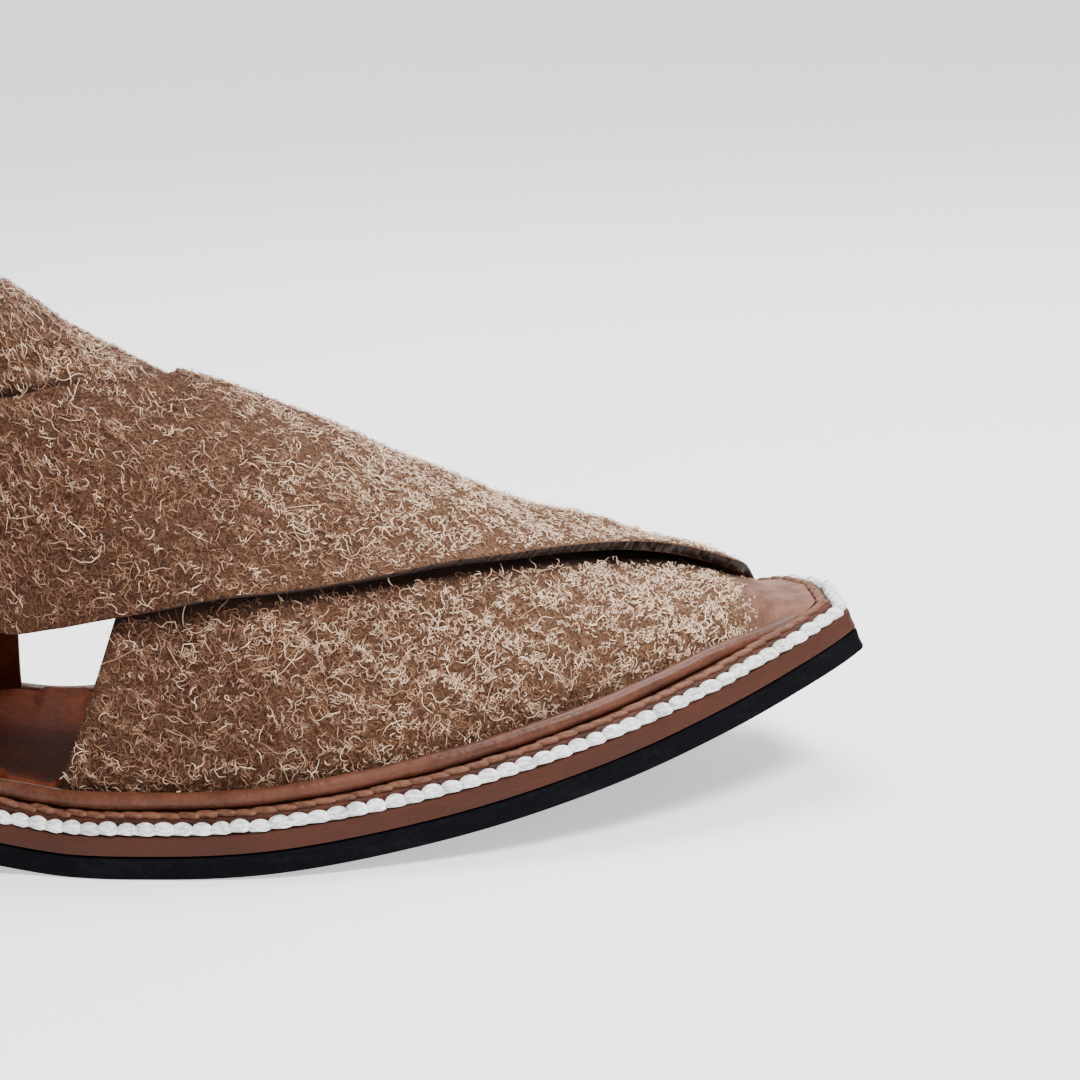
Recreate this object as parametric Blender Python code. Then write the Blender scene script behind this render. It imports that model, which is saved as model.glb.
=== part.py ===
"""Peshawari chappal for the right foot, as the pieces a maker puts together.

Metres, +Z up, +X towards the toe, -Y towards the outer (lateral) side.
Sole layers lie on one curved underside. Stations along the shoe are shares of
LENGTH from the back of the heel, and plan widths are shares of BALL_WIDTH.
The upper's two straps are cut from one function of the last.
"""

import math

import bmesh
import bpy
import numpy as np

# Driving sizes of the sole
LENGTH = 0.290
BALL_WIDTH = 0.0988
HEEL_RISE = 0.0130
TOE_SPRING = 0.0257
OUTSOLE_THICKNESS = 0.0041
MIDSOLE_THICKNESS = 0.0036
INSOLE_THICKNESS = 0.0028
TOP_PIECE_THICKNESS = 0.0050
LIFT_COUNT = 2
GAP = 0.0003
TOE_CORNER = 0.0025
INNER_CORNER = 0.0050

# Where the underside leaves the ground, as shares of LENGTH
HEEL_BREAST = 0.248
FLAT_REAR = 0.490
FLAT_FRONT = 0.538
TOE_CURVE = 1.9

# Driving sizes of the trim that stands on the edge of the midsole
CORD_RADIUS = 0.0010
CORD_INSET = 0.00135
WELT_INSET = 0.0026
WELT_HEIGHT = 0.0019
WELT_CROWN = 0.0026
BEAD_RADIUS = 0.0016
BEAD_INSET = 0.0062
BEAD_HEIGHT = 0.00475

# Driving sizes of the upper
WALL = 0.0023
LAP_SINK = 0.0004
LAP_RUN = 26.0
FEATHER_INSET = 0.0083
INSTEP_HEIGHT = 0.0905
RIDGE_OFFSET = 0.0025
COUNTER_WALL = 0.0026
COUNTER_HEIGHT = 0.0550
COUNTER_BULGE = 0.0028
COUNTER_FRONT = 0.4293
STRAP_WIDTH = 0.0200
STRAP_THICKNESS = 0.0022
STRAP_HEIGHT = 0.0450
EAR_END = 0.303
SIDE_FRONT = 0.476
INSOLE_FRONT = 0.925
KEEPER_WIDTH = 0.0080
KEEPER_THICKNESS = 0.0016
KEEPER_PLACE = 0.0160
BUCKLE_WIRE = 0.0011
BUCKLE_LENGTH = 0.0125
BUCKLE_CORNER = 0.0019
PRONG_WIRE = 0.0008

# Plan of the sole: station, outer half width, inner half width
OUTLINE = (
    (0.000, 0.040, 0.040),
    (0.010, 0.152, 0.152),
    (0.035, 0.252, 0.252),
    (0.070, 0.317, 0.317),
    (0.110, 0.349, 0.349),
    (0.160, 0.365, 0.364),
    (0.220, 0.372, 0.366),
    (0.300, 0.368, 0.352),
    (0.360, 0.366, 0.348),
    (0.420, 0.374, 0.360),
    (0.520, 0.460, 0.420),
    (0.620, 0.504, 0.496),
    (0.720, 0.481, 0.494),
    (0.820, 0.421, 0.420),
    (0.900, 0.332, 0.322),
    (0.960, 0.240, 0.214),
    (0.985, 0.195, 0.135),
    (1.000, 0.158, 0.020),
)
HEEL_ARC = 0.12
TOE_ARC = 0.10
HEEL_STEPS = 7
MIDDLE_STEPS = 27
TOE_STEPS = 8
EDGE_SAMPLES = 400

# Last: station, ridge height as a share of INSTEP_HEIGHT, roundness of the section,
# fullness of its sides as a share of BALL_WIDTH
RIDGE = (
    (0.260, 1.420, 2.50, 0.080),
    (0.340, 1.210, 2.45, 0.070),
    (0.400, 1.080, 2.35, 0.045),
    (0.453, 1.000, 2.25, 0.020),
    (0.500, 0.895, 2.20, 0.005),
    (0.552, 0.796, 2.15, 0.000),
    (0.603, 0.718, 2.10, 0.000),
    (0.655, 0.619, 2.05, 0.000),
    (0.707, 0.514, 2.00, 0.000),
    (0.759, 0.409, 2.00, 0.000),
    (0.810, 0.309, 2.00, 0.000),
    (0.862, 0.216, 2.00, 0.000),
    (0.903, 0.134, 2.00, 0.000),
    (0.938, 0.056, 2.00, 0.000),
    (0.966, 0.016, 2.00, 0.000),
)
SHELL_TOE = 0.9510
SHELL_STEPS = 28
SHELL_LEAN = 0.35
AROUND_STEPS = 26

# Cuts of the straps. Angles run round the last: 0 at the outer feather edge,
# 90 at the ridge, 180 at the inner feather edge; OUT and IN lie past the edges.
OUT = -20.0
IN = 200.0
# Lower strap, behind its rear edge: station, from, to
LOWER_REAR_CUT = (
    (0.200, OUT, 158.0),
    (EAR_END, OUT, 156.2),
    (0.345, OUT, 148.0),
    (0.370, OUT, 135.0),
    (0.390, OUT, 112.0),
    (0.402, OUT, 94.0),
    (0.406, OUT, 30.0),
    (0.440, OUT, 33.0),
    (SIDE_FRONT, OUT, 34.0),
    (0.478, 1.2, 34.0),
    (0.489, 6.5, 33.5),
    (0.497, 10.5, 33.0),
    (0.507, 15.8, 32.0),
    (0.520, 24.5, 31.0),
    (0.526, 29.3, 30.0),
)
# Lower strap, past its inner edge, which the upper strap hides
LOWER_SIDE_CUT = (
    (0.200, 168.0, IN),
    (EAR_END, 166.4, IN),
    (0.330, 164.9, IN),
    (0.360, 163.3, IN),
    (0.400, 161.4, IN),
    (0.453, 161.0, IN),
    (0.522, 154.0, IN),
    (0.577, 148.0, IN),
    (0.633, 143.5, IN),
    (0.695, 135.0, IN),
    (0.759, 127.0, IN),
    (0.820, 133.0, IN),
    (0.880, 146.0, IN),
    (0.910, 156.0, IN),
    (0.928, 170.0, IN),
    (0.9365, 179.5, IN),
)
# Upper strap, below its outer edge and in front of it
UPPER_FRONT_CUT = (
    (0.200, OUT, 10.0),
    (EAR_END, OUT, 13.6),
    (0.330, OUT, 15.1),
    (0.360, OUT, 16.7),
    (0.400, OUT, 18.6),
    (0.453, OUT, 19.5),
    (0.491, OUT, 23.0),
    (0.522, OUT, 26.3),
    (0.577, OUT, 32.0),
    (0.633, OUT, 37.0),
    (0.695, OUT, 45.0),
    (0.759, OUT, 55.0),
    (0.826, OUT, 69.0),
    (0.867, OUT, 77.5),
    (0.894, OUT, 83.0),
    (0.914, OUT, 90.5),
    (0.9245, OUT, 104.0),
    (0.9300, OUT, 126.0),
    (0.9332, OUT, 156.0),
    (0.9345, OUT, 178.0),
    (0.936, OUT, IN),
    (1.020, OUT, IN),
)
# Upper strap, behind its rear edge and above its outer ear
UPPER_REAR_CUT = (
    (0.200, 20.0, IN),
    (EAR_END, 23.8, IN),
    (0.330, 27.3, IN),
    (0.360, 32.6, IN),
    (0.400, 42.0, IN),
    (0.430, 48.5, IN),
    (0.456, 53.0, IN),
    (SIDE_FRONT, 58.0, IN),
    (0.479, 59.0, 178.0),
    (0.489, 62.0, 173.5),
    (0.504, 66.0, 165.0),
    (0.520, 70.0, 155.5),
    (0.535, 75.0, 140.0),
    (0.548, 81.5, 116.0),
    (0.556, 89.0, 91.0),
)
CUT_REACH = 0.0040
CUT_TRIM = 0.0003
CUT_DROP = 0.006
CUT_STEPS = 15
CUT_CENTRE = 0.35
CUT_PITCH = 0.014
CUT_TURN = 6.0

# Heel counter: share of its height, share of COUNTER_BULGE it stands out by
COUNTER_SIDE = (
    (0.00, 0.00),
    (0.14, 0.00),
    (0.38, 0.95),
    (0.62, 1.00),
    (1.00, 0.30),
)
# Top line of the counter: station, share of COUNTER_HEIGHT
COUNTER_TOP = (
    (0.000, 1.00),
    (0.070, 0.98),
    (0.150, 0.85),
    (0.240, 0.60),
    (0.330, 0.49),
    (0.400, 0.43),
    (0.4293, 0.36),
)
COUNTER_ROWS = 6

# Ankle strap: where it lies on the inner ear, how far round the heel it follows the
# counter, how it dips behind the outer ear, and where its free end lies on that ear
STRAP_INNER_STOPS = (0.026, 0.013, 0.002)
STRAP_LEAVES = 0.175
STRAP_DROP = 0.0016
STRAP_BEHIND = (
    (0.015, STRAP_DROP),
    (0.007, 0.0004),
    (0.000, 0.0000),
)
STRAP_OUTER_STOPS = (0.009, 0.018, 0.027)
HOLE_FROM = 0.0022
HOLE_TO = 0.0100
HOLE_DEPTH = 0.0120
# Prong: distance behind the buckle's bar, share of its rise off the ear
PRONG_ROUTE = (
    (0.0022, 0.00),
    (0.0045, 0.50),
    (0.0080, 0.93),
    (0.0125, 1.00),
    (0.0147, 0.95),
)
SHARP_ANGLE = 35.0

COLOURS = {
    "outsole": ((0.012, 0.012, 0.015), 0.70, 0.0),
    "midsole": ((0.170, 0.062, 0.030), 0.55, 0.0),
    "heel_lift_lower": ((0.150, 0.056, 0.028), 0.60, 0.0),
    "heel_lift_upper": ((0.150, 0.056, 0.028), 0.60, 0.0),
    "heel_top_piece": ((0.012, 0.012, 0.015), 0.75, 0.0),
    "insole": ((0.160, 0.052, 0.022), 0.50, 0.0),
    "welt": ((0.090, 0.034, 0.018), 0.55, 0.0),
    "welt_cord": ((0.780, 0.780, 0.770), 0.80, 0.0),
    "rolled_rand": ((0.120, 0.043, 0.022), 0.45, 0.0),
    "upper": ((0.230, 0.120, 0.065), 0.95, 0.0),
    "heel_counter": ((0.230, 0.120, 0.065), 0.95, 0.0),
    "ankle_strap": ((0.200, 0.100, 0.055), 0.90, 0.0),
    "strap_keeper": ((0.120, 0.043, 0.022), 0.50, 0.0),
    "buckle_frame": ((0.620, 0.500, 0.280), 0.30, 1.0),
    "buckle_prong": ((0.620, 0.500, 0.280), 0.30, 1.0),
}


def smooth(rows, column, at):
    """Value of one column of a table, on a curve that never overshoots its rows."""
    table = np.array(rows)
    x = table[:, 0]
    y = table[:, column]
    step = np.diff(x)
    slope = np.diff(y) / step
    tangent = np.zeros_like(y)
    tangent[0] = slope[0]
    tangent[-1] = slope[-1]
    for i in range(1, len(x) - 1):
        if slope[i - 1] * slope[i] > 0:
            before = 2 * step[i] + step[i - 1]
            after = step[i] + 2 * step[i - 1]
            tangent[i] = (before + after) / (before / slope[i - 1] + after / slope[i])
    at = np.clip(at, x[0], x[-1])
    i = np.clip(np.searchsorted(x, at) - 1, 0, len(x) - 2)
    t = (at - x[i]) / step[i]
    ends = y[i] * (1 + 2 * t) * (1 - t) ** 2 + y[i + 1] * t * t * (3 - 2 * t)
    bends = step[i] * (tangent[i] * t * (1 - t) ** 2 + tangent[i + 1] * t * t * (t - 1))
    return ends + bends


# Plan of the sole

EDGE_X = np.linspace(0, LENGTH, EDGE_SAMPLES)
EDGE = {
    -1: BALL_WIDTH * smooth(OUTLINE, 1, EDGE_X / LENGTH),
    1: BALL_WIDTH * smooth(OUTLINE, 2, EDGE_X / LENGTH),
}
ORIGIN_X = LENGTH / 2
ORIGIN_Y = (EDGE[1].max() - EDGE[-1].max()) / 2
STATIONS = np.sort(np.concatenate([
    HEEL_ARC * (1 - np.cos(np.linspace(0, math.pi / 2, HEEL_STEPS + 1))),
    np.linspace(HEEL_ARC, 1 - TOE_ARC, MIDDLE_STEPS + 1)[1:-1],
    [FLAT_REAR, FLAT_FRONT],
    1 - TOE_ARC * (1 - np.cos(np.linspace(math.pi / 2, 0, TOE_STEPS + 1))),
]))


def half_width(side, depth, corner, x):
    """Half width at x of the outline brought in by depth, its corners rounded."""
    cut = depth + corner
    inner_x = np.linspace(cut, LENGTH - cut, EDGE_SAMPLES)
    reach = inner_x[:, None] - EDGE_X[None, :]
    rise = np.sqrt(np.clip(cut ** 2 - reach ** 2, 0, None))
    inner = np.where(np.abs(reach) < cut, EDGE[side][None, :] - rise, LENGTH).min(axis=1)
    reach = np.asarray(x)[:, None] - inner_x[None, :]
    rise = np.sqrt(np.clip(corner ** 2 - reach ** 2, 0, None))
    near = np.abs(reach) <= corner + 1e-7
    return np.where(near, inner[None, :] + rise, -LENGTH).max(axis=1)


def sole_rise(x):
    """Height of the underside above the ground."""
    heel = np.clip((FLAT_REAR * LENGTH - x) / ((FLAT_REAR - HEEL_BREAST) * LENGTH), 0, 1)
    toe = np.clip((x - FLAT_FRONT * LENGTH) / ((1 - FLAT_FRONT) * LENGTH), 0, None)
    return HEEL_RISE * heel ** 2 * (3 - 2 * heel) + TOE_SPRING * toe ** TOE_CURVE


def sole_angle(x):
    """Angle of the underside along the shoe."""
    step = 1e-5
    return np.arctan((sole_rise(x + step) - sole_rise(x - step)) / (2 * step))


def under(x, height):
    """Station whose point at a height above the underside stands at x."""
    return x + height * np.sin(sole_angle(x))


def on_sole(x, y, height):
    """Points at a height above the underside, square to it."""
    angle = sole_angle(x)
    return np.stack([
        x - height * np.sin(angle) - ORIGIN_X,
        y - ORIGIN_Y + 0 * x,
        sole_rise(x) + height * np.cos(angle),
    ], axis=-1)


def ring(depth, corner, height):
    """Closed outline at one depth and height: outer side to the toe, inner side back."""
    x = depth + (LENGTH - 2 * depth) * STATIONS
    outer = on_sole(x, -half_width(-1, depth, corner, x), height)
    inner = on_sole(x, half_width(1, depth, corner, x), height)
    return np.concatenate([outer, inner[::-1]])


MIDSOLE_BASE = OUTSOLE_THICKNESS + GAP
MIDSOLE_TOP = MIDSOLE_BASE + MIDSOLE_THICKNESS
SEAT = MIDSOLE_TOP + GAP


# Meshes

def clear_scene():
    """Remove what the file opens with."""
    for thing in list(bpy.data.objects):
        bpy.data.objects.remove(thing, do_unlink=True)


def collection(name):
    """A collection linked to the scene."""
    made = bpy.data.collections.new(name)
    bpy.context.scene.collection.children.link(made)
    return made


def dress(thing, name):
    """Give a piece its own material."""
    colour, roughness, metallic = COLOURS[name]
    material = bpy.data.materials.new(name + "_finish")
    material.use_nodes = True
    shader = material.node_tree.nodes["Principled BSDF"]
    shader.inputs["Base Color"].default_value = (*colour, 1.0)
    shader.inputs["Roughness"].default_value = roughness
    shader.inputs["Metallic"].default_value = metallic
    thing.data.materials.append(material)


def add_mesh(name, points, faces, group, flat=False):
    """An object from points and faces turned outward, in flat triangles if it is cut."""
    mesh = bpy.data.meshes.new(name)
    mesh.from_pydata([tuple(map(float, point)) for point in points], [], faces)
    shape = bmesh.new()
    shape.from_mesh(mesh)
    bmesh.ops.recalc_face_normals(shape, faces=shape.faces)
    if flat:
        bmesh.ops.triangulate(shape, faces=shape.faces)
    shape.to_mesh(mesh)
    shape.free()
    mesh.shade_smooth()
    mesh.set_sharp_from_angle(angle=math.radians(SHARP_ANGLE))
    thing = bpy.data.objects.new(name, mesh)
    group.objects.link(thing)
    return thing


def slab(name, rings, group):
    """A solid from stacked outlines, closed by quads across the first and the last."""
    count = len(rings[0])
    half = count // 2
    faces = []
    for level in range(len(rings) - 1):
        for i in range(count):
            j = (i + 1) % count
            low = level * count
            faces.append((low + i, low + j, low + count + j, low + count + i))
    for first in (0, (len(rings) - 1) * count):
        for i in range(half - 1):
            j = count - 1 - i
            faces.append((first + i, first + i + 1, first + j - 1, first + j))
    return add_mesh(name, np.concatenate(rings), faces, group)


def hoop(name, rings, group):
    """A closed ring whose section has one corner on each outline."""
    count = len(rings[0])
    corners = len(rings)
    faces = []
    for k in range(corners):
        for i in range(count):
            j = (i + 1) % count
            m = (k + 1) % corners
            faces.append((k * count + i, k * count + j, m * count + j, m * count + i))
    return add_mesh(name, np.concatenate(rings), faces, group)


def sheet(name, inside, outside, group):
    """A wall between two grids of points, closed round its edges."""
    rows, columns = inside.shape[:2]
    points = np.concatenate([inside.reshape(-1, 3), outside.reshape(-1, 3)])
    grid = np.arange(rows * columns).reshape(rows, columns)
    shift = rows * columns
    faces = []
    for i in range(rows - 1):
        for j in range(columns - 1):
            quad = (grid[i, j], grid[i, j + 1], grid[i + 1, j + 1], grid[i + 1, j])
            faces.append(tuple(int(k) for k in quad))
            faces.append(tuple(int(k) + shift for k in reversed(quad)))
    border = list(grid[0, :]) + list(grid[1:, -1]) + list(grid[-1, -2::-1]) + list(grid[-2:0:-1, 0])
    for a, b in zip(border, border[1:] + border[:1]):
        faces.append((int(a), int(a) + shift, int(b) + shift, int(b)))
    return add_mesh(name, points, faces, group, flat=True)


def bar(name, sections, group):
    """A solid through a list of sections, each a list of corners, with flat ends."""
    corners = len(sections[0])
    faces = [tuple(range(corners)), tuple(range((len(sections) - 1) * corners, len(sections) * corners))]
    for s in range(len(sections) - 1):
        for k in range(corners):
            m = (k + 1) % corners
            low = s * corners
            faces.append((low + k, low + m, low + corners + m, low + corners + k))
    return add_mesh(name, np.concatenate(sections), faces, group, flat=True)


def rod(name, points, radius, cyclic, group):
    """A round rod along points."""
    curve = bpy.data.curves.new(name, "CURVE")
    curve.dimensions = "3D"
    curve.bevel_depth = radius
    curve.bevel_resolution = 1
    curve.use_fill_caps = not cyclic
    spline = curve.splines.new("POLY")
    spline.points.add(len(points) - 1)
    for slot, point in zip(spline.points, points):
        slot.co = (*map(float, point), 1.0)
    spline.use_cyclic_u = cyclic
    thing = bpy.data.objects.new(name, curve)
    group.objects.link(thing)
    return thing


def boolean(thing, tool, operation):
    """Cut or join one object with another, which stays hidden among the cutters."""
    tool.hide_render = True
    tool.display_type = "WIRE"
    step = thing.modifiers.new(tool.name, "BOOLEAN")
    step.operation = operation
    step.solver = "EXACT"
    step.object = tool


# Sole

def make_outsole(group):
    """Black rubber outsole over the whole plan, its lower edge slightly broken."""
    edge_break = OUTSOLE_THICKNESS / 8
    rings = [
        ring(edge_break, TOE_CORNER, 0.0),
        ring(0.0, TOE_CORNER, edge_break),
        ring(0.0, TOE_CORNER, OUTSOLE_THICKNESS),
    ]
    return slab("outsole", rings, group)


def make_midsole(group):
    """Leather midsole flush with the outsole."""
    rings = [ring(0.0, TOE_CORNER, MIDSOLE_BASE), ring(0.0, TOE_CORNER, MIDSOLE_TOP)]
    return slab("midsole", rings, group)


def make_heel_layer(name, bottom, top, group):
    """One layer of the heel, with a straight breast at HEEL_BREAST."""
    breast = HEEL_BREAST * LENGTH
    arc = breast * (1 - np.cos(np.linspace(0, math.pi / 2, HEEL_STEPS + 2)))
    outer = half_width(-1, 0.0, TOE_CORNER, arc)
    inner = half_width(1, 0.0, TOE_CORNER, arc)
    rings = []
    for level in (bottom, top):
        near = np.stack([arc - ORIGIN_X, -outer - ORIGIN_Y, level + 0 * arc], axis=-1)
        far = np.stack([arc - ORIGIN_X, inner - ORIGIN_Y, level + 0 * arc], axis=-1)
        rings.append(np.concatenate([near, far[::-1]]))
    return slab(name, rings, group)


def make_heel(group):
    """Rubber top piece on the ground and leather lifts up to the outsole."""
    make_heel_layer("heel_top_piece", 0.0, TOP_PIECE_THICKNESS, group)
    room = HEEL_RISE - TOP_PIECE_THICKNESS - GAP
    pitch = room / LIFT_COUNT
    names = ["heel_lift_lower", "heel_lift_upper"]
    for i in range(LIFT_COUNT):
        bottom = TOP_PIECE_THICKNESS + GAP + i * pitch
        make_heel_layer(names[i], bottom, bottom + pitch - GAP, group)


def make_welt(group):
    """Welt strip sewn on the midsole round the whole shoe, its top sloping outward."""
    inner = FEATHER_INSET - GAP
    shoulder = WELT_INSET + (WELT_CROWN - WELT_HEIGHT)
    corners = (
        (WELT_INSET, SEAT),
        (WELT_INSET, SEAT + WELT_HEIGHT - GAP),
        (shoulder, SEAT + WELT_CROWN - 2 * GAP),
        (inner, SEAT + WELT_CROWN - GAP),
        (inner, SEAT),
    )
    rings = [ring(depth, INNER_CORNER, height) for depth, height in corners]
    return hoop("welt", rings, group)


def make_cord(group):
    """Thick white welt stitching, as one cord on the ledge of the midsole."""
    points = ring(CORD_INSET, INNER_CORNER, SEAT + CORD_RADIUS)
    return rod("welt_cord", points, CORD_RADIUS, True, group)


def make_rand(group):
    """Rolled leather rand between the welt and the upper."""
    points = ring(BEAD_INSET, INNER_CORNER, MIDSOLE_TOP + BEAD_HEIGHT)
    return rod("rolled_rand", points, BEAD_RADIUS, True, group)


# Last and upper

def feather_line():
    """Inner face of the wall, clear of the rand in front of it: x, outer y, inner y."""
    depth = FEATHER_INSET + WALL + GAP
    x = depth + (LENGTH - 2 * depth) * np.linspace(0, 1, EDGE_SAMPLES)
    level = MIDSOLE_TOP + BEAD_HEIGHT
    outer = on_sole(x, -half_width(-1, depth, INNER_CORNER, x), level)
    inner = on_sole(x, half_width(1, depth, INNER_CORNER, x), level)
    return outer[:, 0], outer[:, 1], inner[:, 1]


FEATHER = feather_line()
SEAT_LINE = on_sole(EDGE_X, 0 * EDGE_X, SEAT)


def seat_level(x):
    """Height of the upper's foot at world x."""
    return np.interp(x, SEAT_LINE[:, 0], SEAT_LINE[:, 2])


def last_section(x):
    """Feet, base, ridge height, roundness and fullness of the last at world x."""
    station = (x + ORIGIN_X) / LENGTH
    outer = np.interp(x, FEATHER[0], FEATHER[1])
    inner = np.interp(x, FEATHER[0], FEATHER[2])
    base = seat_level(x)
    height = INSTEP_HEIGHT * smooth(RIDGE, 1, station)
    roundness = smooth(RIDGE, 2, station)
    fullness = BALL_WIDTH * smooth(RIDGE, 3, station)
    return outer, inner, base, height, roundness, fullness


def room_inside(side, x, height):
    """Half width of the last at a height above its base, for stations of the footbed."""
    at = on_sole(x, 0 * x, SEAT + height)[:, 0]
    outer, inner, base, ridge_height, roundness, fullness = last_section(at)
    spread = np.clip(1 - (height / ridge_height) ** roundness, 0, 1) ** (1 / roundness)
    ridge = RIDGE_OFFSET - ORIGIN_Y
    reach = ridge - outer if side < 0 else inner - ridge
    return side * RIDGE_OFFSET + spread * reach


def make_insole(group):
    """Footbed inside the walls, out to the rand where the sides are open."""
    walls = FEATHER_INSET + max(WALL, COUNTER_WALL) + GAP
    opening = FEATHER_INSET + 3 * GAP
    x = walls + (LENGTH - 2 * walls) * STATIONS
    rear = under(COUNTER_FRONT * LENGTH + 2 * GAP, SEAT)
    front = under(SIDE_FRONT * LENGTH - 2 * GAP, SEAT + INSOLE_THICKNESS)
    toe = INSOLE_FRONT * LENGTH
    corners = np.array([rear, rear + GAP, front - GAP, front, toe])
    clear = np.abs(x[:, None] - corners[None, :]).min(axis=1) > 3 * GAP
    clear &= ((x < rear) | (x > front)) & (x < toe)
    x = np.unique(np.concatenate([x[clear], corners]))
    inside = (x > rear + GAP / 2) & (x < front - GAP / 2)
    sides = {}
    for side in (-1, 1):
        narrow = half_width(side, walls, INNER_CORNER, x)
        narrow = np.minimum(narrow, room_inside(side, x, INSOLE_THICKNESS + GAP) - 2 * GAP)
        wide = half_width(side, opening, INNER_CORNER, x)
        sides[side] = np.where(inside, wide, narrow)
    rings = []
    for height in (SEAT, SEAT + INSOLE_THICKNESS):
        outer = on_sole(x, -sides[-1], height)
        inner = on_sole(x, sides[1], height)
        rings.append(np.concatenate([outer, inner[::-1]]))
    return slab("insole", rings, group)


def last_point(x, around):
    """Point of the last at world x and an angle round it, in degrees."""
    outer, inner, base, height, roundness, fullness = last_section(x)
    angle = np.radians(np.clip(around, 0, 180))
    spread = np.abs(np.cos(angle)) ** (2 / roundness) * np.sign(np.cos(angle))
    ridge = RIDGE_OFFSET - ORIGIN_Y
    reach = np.where(spread > 0, ridge - outer, inner - ridge)
    y = ridge - spread * reach - fullness * np.sin(2 * angle)
    z = base + height * np.sin(angle) ** (2 / roundness)
    return np.stack([x + 0 * y, y, z], axis=-1)


def last_normal(x, around):
    """Outward direction of the last."""
    step_x = 0.0015
    step_around = 2.0
    low = np.clip(around - step_around, 0.5, 175.5)
    across = last_point(x, low + 2 * step_around) - last_point(x, low)
    along = last_point(x + step_x, around) - last_point(x - step_x, around)
    normal = np.cross(across, along)
    return -normal / np.linalg.norm(normal, axis=-1, keepdims=True)


def off_last(x, around, lift):
    """Point at a distance outside the last."""
    return last_point(x, around) + last_normal(x, around) * np.asarray(lift)[..., None]


def lap_lift(x, around):
    """How far the upper strap's inner face stands off the last over the lower strap."""
    edge = smooth(LOWER_SIDE_CUT, 1, (x + ORIGIN_X) / LENGTH)
    fall = np.clip((180 - around) / np.maximum(180 - edge, LAP_RUN), 0, 1)
    return (WALL - LAP_SINK) * fall ** 2 * (3 - 2 * fall)


def shell(name, lapped, group):
    """Whole wall over the last, from which one strap is cut."""
    bend = np.linspace(0, 1, SHELL_STEPS + 1)
    station = EAR_END + (SHELL_TOE - EAR_END) * (bend + SHELL_LEAN * bend * (1 - bend))
    x = station * LENGTH - ORIGIN_X
    grid_x, around = np.meshgrid(x, np.linspace(0, 180, AROUND_STEPS + 1), indexing="ij")
    lift = lap_lift(grid_x, around) if lapped else 0 * grid_x
    inside = off_last(grid_x, around, lift)
    outside = off_last(grid_x, around, lift + WALL)
    outside[..., 2] = np.maximum(outside[..., 2], seat_level(outside[..., 0]))
    return sheet(name, inside, outside, group)


def closer(rows):
    """The rows of a cut with more of them in between, on smooth curves."""
    made = [rows[0]]
    for row, after in zip(rows, rows[1:]):
        turn = max(abs(after[1] - row[1]), abs(after[2] - row[2]))
        count = max(1, round((after[0] - row[0]) / CUT_PITCH), round(turn / CUT_TURN))
        if (row[1] < 0) != (after[1] < 0) or (row[2] > 180) != (after[2] > 180):
            count = 1
        for station in np.linspace(row[0], after[0], count + 1)[1:-1]:
            start = row[1] if row[1] < 0 else float(smooth(rows, 1, station))
            end = row[2] if row[2] > 180 else float(smooth(rows, 2, station))
            made.append((station, start, end))
        made.append(after)
    return made


def wedge(name, rows, lapped, group):
    """Cutter that takes a sector of the wall round the last, from a table of stations."""
    below = np.array([0.0, 0.0, -CUT_DROP])
    sections = []
    for station, start, end in closer(rows):
        x = np.array(station * LENGTH - ORIGIN_X)
        base, height = last_section(x)[2:4]
        centre = np.array([x, RIDGE_OFFSET - ORIGIN_Y, base + CUT_CENTRE * height])
        middle = []
        arms = []
        for around in np.linspace(max(start, 0), min(end, 180), CUT_STEPS):
            lift = WALL / 2 + (lap_lift(x, around) if lapped else 0.0)
            middle.append(off_last(x, np.array(around), lift))
            arms.append((middle[-1] - centre) / np.linalg.norm(middle[-1] - centre))
        inside = [point - arm * CUT_REACH for point, arm in zip(middle, arms)]
        outside = [point + arm * CUT_REACH for point, arm in zip(middle, arms)]
        reach = CUT_REACH - CUT_TRIM
        first = [middle[0] + arms[0] * r + below * (start < 0) for r in (-reach, reach)]
        last = [middle[-1] + arms[-1] * r + below * (end > 180) for r in (-reach, reach)]
        outline = [first[0]] + inside + last + outside[::-1] + [first[1]]
        sections.append(np.array(outline))
    return bar(name, sections, group)


def make_upper(group, cutters):
    """Two crossing straps joined where they cross, one solid with the lap as a step."""
    lower = shell("upper", False, group)
    boolean(lower, wedge("cut_lower_rear", LOWER_REAR_CUT, False, cutters), "DIFFERENCE")
    boolean(lower, wedge("cut_lower_side", LOWER_SIDE_CUT, False, cutters), "DIFFERENCE")
    over = shell("strap_over", True, cutters)
    boolean(over, wedge("cut_upper_front", UPPER_FRONT_CUT, True, cutters), "DIFFERENCE")
    boolean(over, wedge("cut_upper_rear", UPPER_REAR_CUT, True, cutters), "DIFFERENCE")
    boolean(lower, over, "UNION")
    return lower


COUNTER_END = (COUNTER_FRONT * LENGTH - FEATHER_INSET) / (LENGTH - 2 * FEATHER_INSET)
COUNTER_STATIONS = np.append(STATIONS[STATIONS < COUNTER_END - GAP], COUNTER_END)


def counter_loop(heights, extra):
    """Points round the heel at a height above the midsole for each station."""
    depth = FEATHER_INSET - COUNTER_BULGE * smooth(COUNTER_SIDE, 1, heights / COUNTER_HEIGHT) + extra
    x = depth + (LENGTH - 2 * depth) * COUNTER_STATIONS
    loop = []
    for side in (-1, 1):
        y = [side * half_width(side, d, INNER_CORNER, [at])[0] for d, at in zip(depth, x)]
        base = seat_level(x - ORIGIN_X)
        loop.append(np.stack([x - ORIGIN_X, np.array(y) - ORIGIN_Y, base + heights], axis=-1))
    return np.concatenate([loop[0][::-1], loop[1]])


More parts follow.
